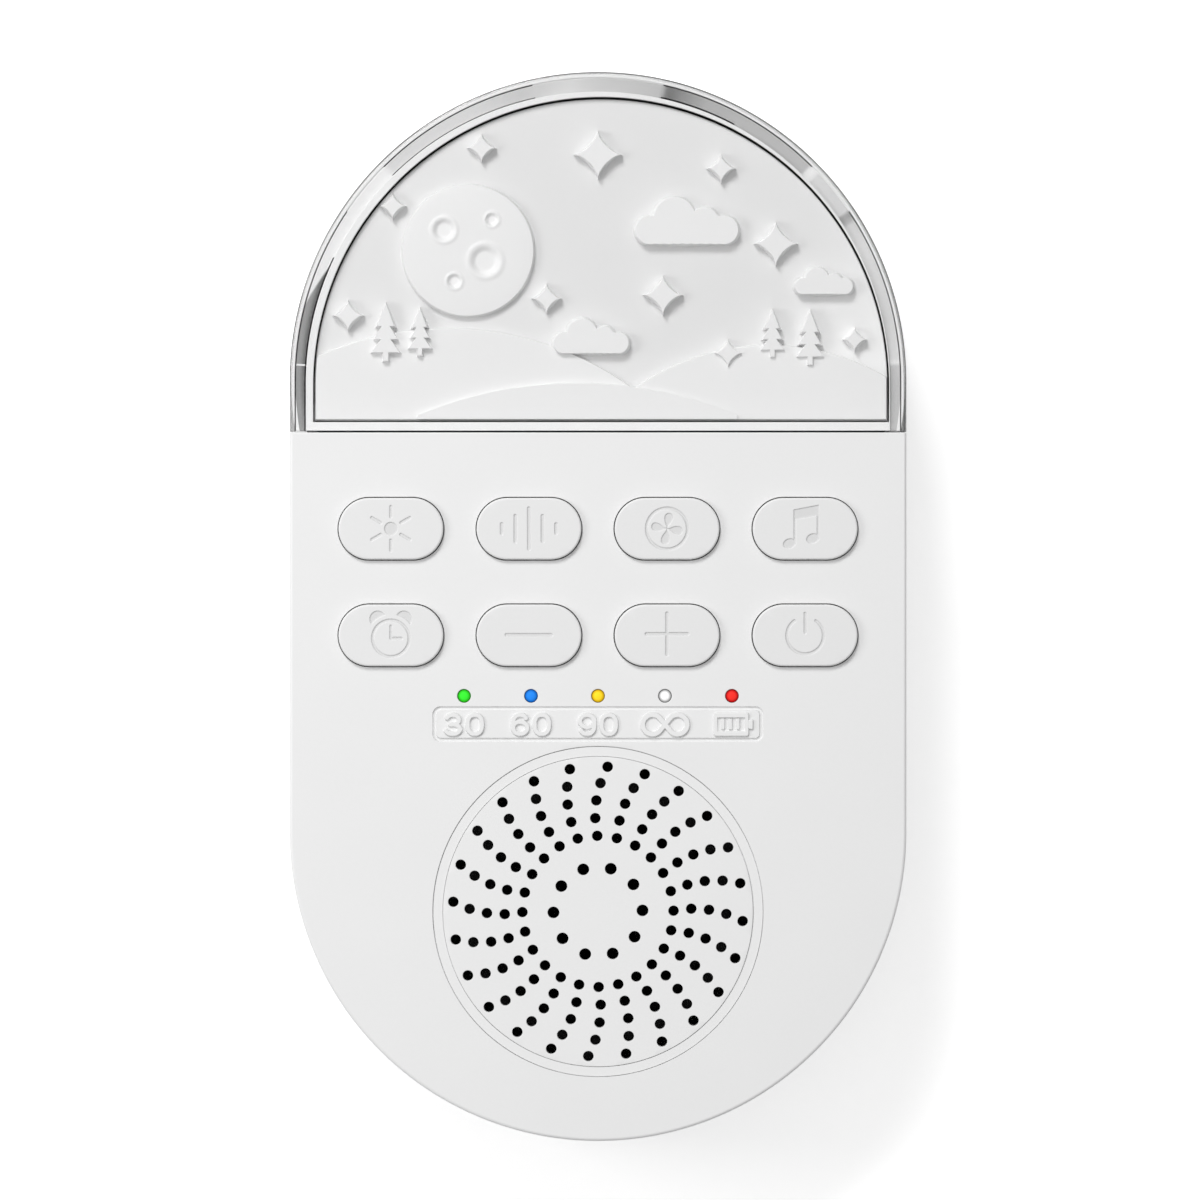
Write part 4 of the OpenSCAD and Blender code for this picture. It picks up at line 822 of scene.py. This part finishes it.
BAR_TOPS = {-2: 0.67, -1: 1.87, 0: 2.97, 1: 1.87, 2: 0.67}
sound_bars = drawn(0.23, *[[(1.98 * i, -top), (1.98 * i, top)] for i, top in BAR_TOPS.items()])
minus_sign = drawn(0.23, [(-3.27, 0.05), (3.27, 0.05)])
plus_sign = drawn(0.22, [(-3.0, 0.2), (3.0, 0.2)], [(0, -2.8), (0, 3.2)])
power_sign = drawn(0.19, oval((0, -0.05), 2.67, 2.67, 126, 414, 60), [(0, 0.38), (0, 3.18)])
SYMBOLS = [sun, sound_bars, fan_wheel, notes, alarm_clock, minus_sign, plus_sign, power_sign]
print(len(SYMBOLS), "symbols")

# %% The caps
ROOF, CAP_WALL, RIM, FLANGE_TOP, FLANGE_LOW = 27.65, 1.2, 0.3, 25.9, 24.4
POST_R, POST_END = 2.2, 23.0
SUNK, BEVEL, FLANGE_W, SOFT_EDGE = 0.16, 0.16, 1, 0.1


def cap(symbol, centre):
    """Symbol patch, flat ring, rim, side, flange, hollow and post, in that order."""
    skin = Skin()
    x_lines, y_lines = np.linspace(-4.4, 4.4, 145), np.linspace(-3.75, 3.75, 123)

    def height(x, y):
        return CAP_TOP - SUNK * smooth(0.5 - symbol(x, y) / BEVEL)

    patch = field_patch(skin, x_lines, y_lines, height, centre)
    line, out = rounded_box(CAP_L, CAP_H, CAP_H / 2, 16, centre)
    side = [*bend((-RIM, CAP_TOP - RIM), RIM, 90, 0, 6), (0, FLANGE_TOP)]
    side += [(FLANGE_W - SOFT_EDGE, FLANGE_TOP), (FLANGE_W, FLANGE_TOP - SOFT_EDGE)]
    side += [(FLANGE_W, FLANGE_LOW + SOFT_EDGE), (FLANGE_W - SOFT_EDGE, FLANGE_LOW)]
    side += [(-CAP_WALL, FLANGE_LOW), (-CAP_WALL, ROOF)]
    skin.grid(carry(line, out, side), round_u=True)
    skin.flat([line - RIM * out, patch], CAP_TOP)
    post, post_out = ring(POST_R, 32, centre)
    skin.flat([line - CAP_WALL * out, post], ROOF)
    tip = [(0, ROOF), (0, POST_END + 0.15), (-0.15, POST_END)]
    skin.grid(carry(post, post_out, tip), round_u=True)
    skin.flat([post - 0.15 * post_out], POST_END)
    return skin


for key, symbol in zip(KEYS, SYMBOLS):
    skin = cap(symbol, key_place[key])
    build(skin, f"{key}_cap", cap_white, f"{key}_key", "cap_white", f"{key}_button")

# %% [markdown]
# ## The clear cover
#
# The cover is one clear moulding: a thick window and a thin wall round the dome that stands on the
# rear housing. It is a section carried round the dome, from the right foot to the left one.


# %% The cover
def dome_line(marks, foot_y):
    """Base points and directions from foot to foot over the dome, with each marked angle doubled,
    and the number of the span between two marks that each column belongs to."""
    spans = [np.linspace(a, b, max(4, round((b - a) / 1.2)) + 1) for a, b in zip(marks[:-1], marks[1:])]
    number = np.repeat(np.arange(len(spans)), [len(span) for span in spans])
    out = directions(np.radians(np.concatenate(spans)))
    base = np.vstack([[0, foot_y], np.broadcast_to((0.0, ARC_Y), out.shape), [0, foot_y]])
    return base, np.vstack([[1, 0], out, [-1, 0]]), np.concatenate([[0], number, number[-1:]])


EDGE_R = 0.28
cover_section = [(COVER_IN, WINDOW), (COVER_IN, SEAM), (BODY_R - 0.1, SEAM), (BODY_R, SEAM + 0.1)]
cover_section = np.vstack([cover_section, bend((BODY_R - EDGE_R, FACE - EDGE_R), EDGE_R, 0, 90, 8)])
dome_base, dome_out, _ = dome_line((0, 180), FOOT_Y)
wall = carry(dome_base, dome_out, cover_section)
cover = Skin()
cover.grid(wall)
cover.flat([wall[:, 0, :2]], WINDOW)
cover.flat([wall[:, -1, :2]], FACE)
cover.flat([np.vstack([wall[0], wall[-1, ::-1]])[:, [0, 2]]], FOOT_Y, axis=1)
build(cover, "clear_dome", clear_plastic, "housing", "clear_plastic", "clear_cover", sharp=25)

# %% [markdown]
# ## The plate's frame and the relief plate
#
# Under the window lies a white frame with a thin rim, and in it the plate. The plate shows a night
# sky: a full moon with craters over three lines of hills, with clouds, pines and four-pointed stars.
# Each motif is a flat-topped shape with a drafted side, as a mould needs, standing on the plain field.


# %% The frame
def upper_outline(radius, foot_y, centre):
    """A half circle round a centre and two feet, with the directions outwards."""
    out = directions(np.linspace(0, np.pi, ROUND_STEPS + 1))
    line = np.vstack([radius * out + centre, [centre[0] - radius, foot_y], [centre[0] + radius, foot_y]])
    return line, np.vstack([out, [-1, -1], [1, -1]])


FRAME_FOOT, FRAME_LOW, SOFT_RIM = FOOT_Y + 0.2, 14.0, 0.06
SHELF_IN, FRAME_WALL = 3, 1.2
outside = [(0, FRAME_LOW), (0, RIM_TOP - SOFT_RIM), (SOFT_RIM, RIM_TOP)]
opening = [(-SOFT_RIM, RIM_TOP), (0, RIM_TOP - SOFT_RIM), (0, LEDGE_TOP)]
below = [(SHELF_IN, LEDGE_TOP), (SHELF_IN, LEDGE_TOP - 1), (FRAME_WALL, LEDGE_TOP - 1)]
below += [(FRAME_WALL, FRAME_LOW)]
loops = [
    lifted(upper_outline(radius - inset, foot + inset, at)[0], z)
    for radius, foot, at, rows in (
        (RIM_R, FRAME_FOOT, RIM_AT, outside),
        (HOLE_R, BAR_Y, HOLE_AT, opening),
        (RIM_R, BAR_Y, RIM_AT, below),
    )
    for inset, z in rows
]
frame_skin = Skin()
frame_skin.grid(np.stack(loops, axis=1), round_u=True, round_v=True)

# %% [markdown]
# Outside its rim the frame has a flange, and outside that a thin white ring under the cover's edge.
# Narrow slots part them. They stop where the rear housing's tabs come up, so the flange's section has
# two slot floors whose heights change from span to span.

# %% The flange and its slots
def reach_of(out, centre, radius):
    """How far a circle is from the dome's middle along each direction."""
    along = out @ (centre - (0, ARC_Y))
    return along + np.sqrt(radius**2 - ((centre - (0, ARC_Y)) ** 2).sum() + along**2)


MARKS = (0, 34, 45, 62, 77.5, 102.5, 135, 146, 155, 180)
SLOT_WIDTH = np.array([-0.03, -0.03, -0.03, 0.24, -0.03, 0.14, -0.03, -0.03, 0.2])
OUTER_SLOT = np.array([1, 0, 1, 1, 0, 1, 0, 1, 1])
SLOT_DEEP, SHELF_OUT, RING_IN, RING_OUT = 2.1, 44.17, 44.34, 44.72
TOP = RIM_TOP - 0.5
rail = [(0, 22), (RING_OUT, 22), (RING_OUT, TOP + 0.04), (RING_OUT - 0.06, TOP + 0.1)]
rail += [(RING_IN + 0.06, TOP + 0.1), (RING_IN, TOP + 0.04), (RING_IN, TOP - 0.08)]
rail += [(SHELF_OUT, TOP - 0.08), (SHELF_OUT, TOP - 0.05), (SHELF_OUT - 0.05, TOP)]
rail += [(0.06, TOP), (0, TOP - 0.05), (0, TOP - 0.1), (0, TOP - 0.1)]
# Points 6 and 7 are the outer slot's floor, 12 and 13 the inner one's, and 0 and 13 lie in the rim.
rail_base, rail_out, span = dome_line(MARKS, FRAME_FOOT)
rails = np.tile(rail, (len(span), 1, 1))
rails[:, 6:8, 1] -= SLOT_DEEP * OUTER_SLOT[span, None]
rails[:, 12:14, 1] -= SLOT_DEEP * (SLOT_WIDTH[span, None] > 0)
rim_reach, hole_reach = reach_of(rail_out, RIM_AT, RIM_R), reach_of(rail_out, HOLE_AT, HOLE_R)
rails[:, 10:13, 0] += (rim_reach + SLOT_WIDTH[span])[:, None]
rails[:, [0, 13], 0] = (0.2 * rim_reach + 0.8 * hole_reach)[:, None]
rails = carry(rail_base, rail_out, rails)
frame_skin.grid(rails, round_v=True)
for end in (rails[0], rails[-1]):
    frame_skin.flat([end[:, [0, 2]]], FRAME_FOOT, axis=1)
build(frame_skin, "night_frame", frame_white, "housing", "shell_white", "plate_frame")


# %% Motif outlines
def union_outline(discs, count=240):
    """The outline of joined discs as seen from the first: the farthest hit along each direction."""
    out, far = ring(1, count)[1], np.zeros(count)
    for x, y, r in discs:
        along, off = out @ (x, y), out @ (-y, x)
        hit = r * r - off * off
        far = np.maximum(far, np.where(hit > 0, along + np.sqrt(np.maximum(hit, 0)), 0))
    return far[:, None] * out


def cloud_outline(length):
    """A lying bar with round ends and humps on top."""
    r = length * 0.14
    bar = [(t * (length / 2 - r), 0, r) for t in np.linspace(-1, 1, 9)]
    humps = [(0, 0.02, 0.12), (-0.12, 0.12, 0.2), (0.17, 0.08, 0.14)]
    return union_outline([*bar, *(length * np.array(humps))])


def sparkle_outline(size, count=96, power=0.7):
    """|x|^p + |y|^p = size^p with the power p below 1: four points with hollow sides."""
    out = ring(1, count)[1]
    return size * out / (np.abs(out) ** power).sum(1, keepdims=True) ** (1 / power)


def pine_outline(height):
    """Three stacked triangles over a short trunk, as one closed line of corners."""
    right = [(0.05, -0.16), (0.05, 0.0)]
    for i in range(3):
        right += [(0.26 - 0.05 * i, 0.24 * i)]
        right += [(0.085 - 0.01 * i, 0.24 * (i + 1))] if i < 2 else [(0.0, 0.9)]
    return height * np.array(right + [(-x, y) for x, y in right[-2::-1]])


def hill_outline(x, top, radius, base, reach):
    """The top of a wide circle over a straight base, kept inside a dome of the given reach."""
    half = min(radius, math.sqrt(radius**2 - (radius - top + base + 0.5) ** 2))
    along = np.linspace(x + half, x - half, 120)
    crest = top - radius + np.sqrt(radius**2 - (along - x) ** 2)
    line = np.vstack([[along[0], base], np.column_stack([along, crest]), [along[-1], base]]) - PLATE_AT
    up = np.maximum(line[:, 1], 0)
    share = np.minimum(1, reach / np.hypot(line[:, 0], up))
    return PLATE_AT + line * np.column_stack([share, np.where(up > 0, share, 1)])


print("outlines:", len(cloud_outline(10)), len(sparkle_outline(3)), len(pine_outline(8)))


# %% Raising an outline
def normals(loop):
    """Outward directions at the points of a counter-clockwise loop, longer at sharp corners."""
    ahead, behind = np.roll(loop, -1, 0) - loop, loop - np.roll(loop, 1, 0)
    sides = [v / (np.linalg.norm(v, axis=1, keepdims=True) + 1e-9) for v in (ahead, behind)]
    n1, n2 = [np.column_stack([v[:, 1], -v[:, 0]]) for v in sides]
    middle = n1 + n2
    share = np.maximum((middle * middle).sum(1, keepdims=True) / 2, 0.7)
    return middle / share


plate = Skin()


def raise_motif(outline, height, flare=0.4, edge=0.08, middle=None):
    """A flat top at the height, a rounded edge, and a side that spreads down into the field.
    With a middle given, the sides spread straight away from it."""
    loop = distinct(np.asarray(outline, float))
    top, foot, inner = FIELD + height, FIELD - 0.1, edge + 0.06
    rows = [(-inner, top), (-edge, top), (-0.3 * edge, top - 0.3 * edge), (0, top - edge), (flare, foot)]
    out = normals(loop)
    if middle is not None:
        out = (loop - middle) / np.linalg.norm(loop - middle, axis=1, keepdims=True)
    plate.grid(carry(loop, out, rows), round_u=True)
    plate.flat([loop - inner * out], top)
    plate.flat([loop + flare * out], foot)


line, out = upper_outline(PLATE_R, PLATE_Y, PLATE_AT)
plate_edge = bend((-0.2, FIELD - 0.2), 0.2, 0, 90, 4)
plate_rows = carry(line, out, [(-0.1, LEDGE_TOP), (0, LEDGE_TOP + 0.1), *plate_edge])
plate.grid(plate_rows, round_u=True)
for j, z in ((0, LEDGE_TOP), (-1, FIELD)):
    plate.flat([plate_rows[:, j, :2]], z)
print("plate blank:", len(plate.faces), "faces")

# %% The motifs in their places
SKY = np.array([0.0, ARC_Y])
for x, y, size in (
    (0, 33, 3.3), (9.5, 12.5, 2.7), (26, 20, 3.0), (-36.5, 9.5, 2.1), (-7.5, 12, 2.0),
    (18, 31, 1.9), (-30, 25.5, 1.8), (19, 4, 1.9), (37.5, 6, 1.6), (-17, 34, 1.9),
):  # fmt: skip
    star = SKY + (x, y)
    raise_motif(star + sparkle_outline(size), 0.95 * RELIEF, flare=0.32, edge=0.07, middle=star)
for x, y, length in ((13, 22, 15), (-1, 5.5, 11), (33, 13.8, 8.5)):
    raise_motif(SKY + (x, y) + cloud_outline(length), 0.9 * RELIEF, middle=SKY + (x, y))
for x, y, height in ((-31, 10, 8), (-26, 10.6, 6.5), (31, 9.4, 7.5), (25.5, 10.4, 6.5)):
    raise_motif(np.array([x, 27.1 + y]) + pine_outline(height), 0.95 * RELIEF, flare=0.3)
print("motifs:", len(plate.faces), "faces")

# %% The hills and the moon
for x, top, radius, share in ((-22, 13.5, 46, 0.4), (25, 11, 34, 0.62), (-3, 5.5, 60, 0.85)):
    hill = hill_outline(x, PLATE_Y + top, radius, PLATE_Y + 0.25, PLATE_R - 0.22)
    raise_motif(hill, share * RELIEF, flare=0.16, middle=np.array([x, PLATE_Y + 1.2]))
MOON, MOON_R = SKY + (-19, 19), 9.5
moon_t = np.linspace(0, 1, 61)[None, :]
moon_out = ring(1, 180)[1]
mx, my = MOON_R * moon_t * moon_out[:, :1], MOON_R * moon_t * moon_out[:, 1:]
craters = ((-3.5, 3, 1.7), (2.5, -1.5, 2.3), (-2, -4.5, 1.1), (3.5, 4.5, 1.0))
sunk = np.zeros_like(mx)
for x, y, r in craters:
    away = np.hypot(mx - x, my - y) / r
    sunk += 0.55 * (1 - smooth((away - 0.55) / 0.4)) - 0.18 * np.exp(-(((away - 1.08) / 0.17) ** 2))
swell = 0.76 + 0.24 * np.sqrt(np.clip(1 - (0.96 * moon_t) ** 2, 0, 1))
moon_z = FIELD + 0.75 * RELIEF * swell - sunk * 0.7
moon = np.stack([mx + MOON[0], my + MOON[1], moon_z], -1)
rim_xy = moon[:, -1, :2]
side_rows = carry(rim_xy, normals(rim_xy), [(0.1, moon_z[0, -1] - 0.12), (0.34, FIELD - 0.1)])
plate.grid(np.concatenate([moon, side_rows], axis=1), round_u=True)
plate.flat([side_rows[:, -1, :2]], FIELD - 0.1)
build(plate, "night_plate", relief_white, "housing", "relief_white", "relief_plate", sharp=40)

# %% [markdown]
# ## Finishes for the works inside
#
# Most of the works never show, but the lid can be taken off in the mind, and a few of them are seen
# through the grille and the cover. Each finish is a short recipe: a base colour broken up by noise or
# by the marks that the process leaves, such as brushing on steel or fibres in paper.


# %% Recipes for the works
def mottled(name, light, dark, size, rough, depth=0.01, metal=0.0, spread=(1, 1, 1), shine=0.4):
    """Two tones mixed by noise, with a grain that may be drawn out along an axis."""
    r = Recipe(name)
    spots = r.noise(size, 3.0, r.place(scale=spread))
    dust = r.noise(size * 7, 2.0)
    return r.finish(
        r.principled(
            Base_Color=r.between(0.65 * spots + 0.35 * dust, dark, light),
            Roughness=rough - 0.1 + 0.2 * spots,
            Metallic=metal,
            Specular_IOR_Level=shine,
            Normal=r.bump(spots, depth),
        )
    )


def board(name, mask, copper, lines):
    """A circuit board: lacquer over tracks, drawn by the edges of cells, and a fine weave."""
    r = Recipe(name)
    sockets = {"Vector": r.place(), "Scale": 1 / (lines * MM), "Randomness": 0.75}
    track = r.node("TexVoronoi", sockets, feature="DISTANCE_TO_EDGE").math("LESS_THAN", 0.09)
    weave = r.noise(0.4)
    tone = r.between(0.7 * track + 0.3 * weave, mask, copper)
    rough, lines_up = 0.3 + 0.15 * weave, r.bump(track, 0.035)
    return r.finish(r.principled(Base_Color=tone, Roughness=rough, Normal=lines_up))


def lamp_lens(name, deep, bright, x):
    """A lit lens: bright in the middle and darker to its rim, with a fine sparkle."""
    r = Recipe(name)
    stops = [(0.0, bright), (0.5, bright), (0.78, deep), (1.0, [c * 0.12 for c in deep])]
    glow = r.node("ValToRGB", {0: r.away((x, LAMP_Y))}, stops=stops)
    fleck = r.noise(0.25)
    return r.finish(
        r.principled(
            Base_Color=r.between(0.25 * fleck, glow, deep),
            Emission_Color=glow,
            Emission_Strength=0.45,
            Roughness=0.55 + 0.1 * fleck,
            Specular_IOR_Level=0.1,
        )
    )


print("recipes for the works are ready")

# %% The finishes of the works
OWN = (1, 1, 1)
WORKS = {
    "black_plastic": ((0.03, 0.03, 0.032), (0.015, 0.015, 0.016), 0.5, 0.45),
    "foil_silver": ((0.72, 0.73, 0.75), (0.5, 0.51, 0.53), 3.0, 0.35, 0.04, 0.9),
    "plated_steel": ((0.62, 0.62, 0.6), (0.42, 0.42, 0.41), 0.8, 0.34, 0.01, 1.0, (1, 8, 1)),
    "blackened_steel": ((0.03, 0.03, 0.032), (0.012, 0.012, 0.013), 0.6, 0.5, 0.01, 0.0, OWN, 0.2),
    "ferrite": ((0.07, 0.07, 0.075), (0.03, 0.03, 0.032), 0.35, 0.6, 0.02),
    "copper": ((0.83, 0.38, 0.2), (0.6, 0.24, 0.12), 0.3, 0.3, 0.02, 1.0, (1, 1, 6)),
    "spider_cloth": ((0.42, 0.27, 0.1), (0.28, 0.17, 0.06), 0.25, 0.85, 0.03),
    "cone_paper": ((0.012, 0.012, 0.013), (0.006, 0.006, 0.006), 0.4, 0.85, 0.03, 0.0, OWN, 0.1),
    "black_rubber": (0.01, 0.005, 0.6, 0.8, 0.01, 0.0, OWN, 0.1),
    "terminal_strip": ((0.35, 0.2, 0.09), (0.22, 0.12, 0.05), 0.5, 0.7, 0.02),
    "cream_plastic": ((0.8, 0.74, 0.58), (0.72, 0.66, 0.5), 1.0, 0.45),
    "diode_yellow": ((0.85, 0.7, 0.12), (0.75, 0.55, 0.08), 0.6, 0.3),
    "wire_jacket": ((0.6, 0.03, 0.03), (0.45, 0.02, 0.02), 1.5, 0.4),
}
FINISHES = {name: mottled(name, *row) for name, row in WORKS.items()}
FINISHES |= {
    "shell_white": shell_white,
    "cap_white": cap_white,
    "relief_white": relief_white,
    "clear_plastic": clear_plastic,
    "circuit_board": board("circuit_board", (0.02, 0.16, 0.06), (0.05, 0.28, 0.12), 2.2),
    "white_board": board("white_board", (0.74, 0.74, 0.72), (0.62, 0.62, 0.58), 3.0),
}
print(len(FINISHES), "finishes")

# %% The lamps' lenses
TINTS = {
    "green": ((0.02, 0.4, 0.01), (0.035, 0.72, 0.03)),
    "blue": ((0.006, 0.12, 0.46), (0.016, 0.2, 0.72)),
    "amber": ((0.55, 0.34, 0.005), (0.8, 0.57, 0.02)),
    "clear": ((0.36, 0.36, 0.36), (0.8, 0.8, 0.8)),
    "red": ((0.42, 0.006, 0.006), (0.74, 0.028, 0.02)),
}
for tint, (deep, bright) in TINTS.items():
    FINISHES[f"lamp_{tint}"] = lamp_lens(f"lamp_{tint}", deep, bright, lamp_place[tint][0])
for name, node in nodes.items():
    kind = node.data.materials[0].name.split(".")[0]
    node.data.materials[0] = FINISHES["blackened_steel" if name == "speaker_screws" else kind]
print(len(nodes), "nodes are dressed")

# %% [markdown]
# ## The floor, the light and the camera
#
# The machine lies on a plain white floor. One soft lamp at the upper left shapes the relief, and an
# even pale sky fills the shadows. The floor looks a little brighter to the eye than it is, so that it
# turns white without more light on the object, and it keeps the object's shadow.

# %% The floor
FLOOR_HALF, FLOOR_Z = 3.0, -0.00002  # metres
corners = [(x * FLOOR_HALF, y * FLOOR_HALF, FLOOR_Z) for x, y in ((-1, -1), (1, -1), (1, 1), (-1, 1))]
floor_mesh = bpy.data.meshes.new("floor")
floor_mesh.from_pydata(corners, [], [(0, 1, 2, 3)])
floor = placed("floor", floor_mesh)


def floor_finish():
    """A pale floor that adds a little white for rays that come from the eye, a mirror or glass."""
    r = Recipe("floor_white")
    pale = r.node("BsdfDiffuse", {"Color": r.between(r.noise(3.0), 0.8, 0.82)})
    lift = r.node("AddShader", {0: pale, 1: r.node("Emission", {"Strength": 0.5})})
    seen = r.ray("Camera") + r.ray("Glossy") + r.ray("Transmission")
    return r.finish(r.node("MixShader", {0: seen, 1: pale, 2: lift}))


floor_mesh.materials.append(floor_finish())
print("floor:", floor.name)

# %% The sky
scene = bpy.context.scene


def soft_sky(horizon, zenith):
    """A grey sky that grows brighter from the horizon up, and plain white behind the object. Straight
    overhead it has a dark spot, so that flat faces mirror no bright sky to an eye above them."""
    r = Recipe("soft_sky", bpy.data.worlds)
    up = r.node("SeparateXYZ", {0: r.node("TexCoord", output="Generated")}, output="Z").math("MAXIMUM")
    tone = r.between(step(up, 0.98, 0.992), r.between(up, horizon, zenith), 0.02)
    tone = r.between(r.ray("Camera"), tone, 1.0)
    return r.finish(r.node("Background", {"Color": tone, "Strength": 1.0}), "World")


scene.world = soft_sky(0.08, 0.74)
print("sky:", scene.world.name)


# %% The lamps and the camera
def soft_lamp(name, place, aim, size, watts):
    """A square lamp at a place, turned to look at a point."""
    light = bpy.data.lights.new(name, "AREA")
    light.shape, light.size, light.energy = "SQUARE", size, watts
    lamp = placed(name, light, place)
    lamp.rotation_euler = (Vector(aim) - Vector(place)).to_track_quat("-Z", "Y").to_euler()


soft_lamp("key_lamp", (-0.35, 0.90, 1.10), (0, 0, 0.02), 0.42, 10.6)
soft_lamp("side_lamp", (-0.45, 0.05, 0.35), (0, 0, 0.02), 0.2, 0.8)
DISTANCE, SEEN_WIDTH = 1.1, 0.17504
lens = bpy.data.cameras.new("camera")
lens.sensor_width, lens.lens = 36, 36 * DISTANCE / SEEN_WIDTH
lens.clip_start, lens.clip_end = 0.05, 20
scene.camera = placed("camera", lens, (0.00029, 0.00095, FACE * MM + DISTANCE))
scene.view_settings.view_transform = "Standard"
print("lens:", round(lens.lens, 1), "mm")
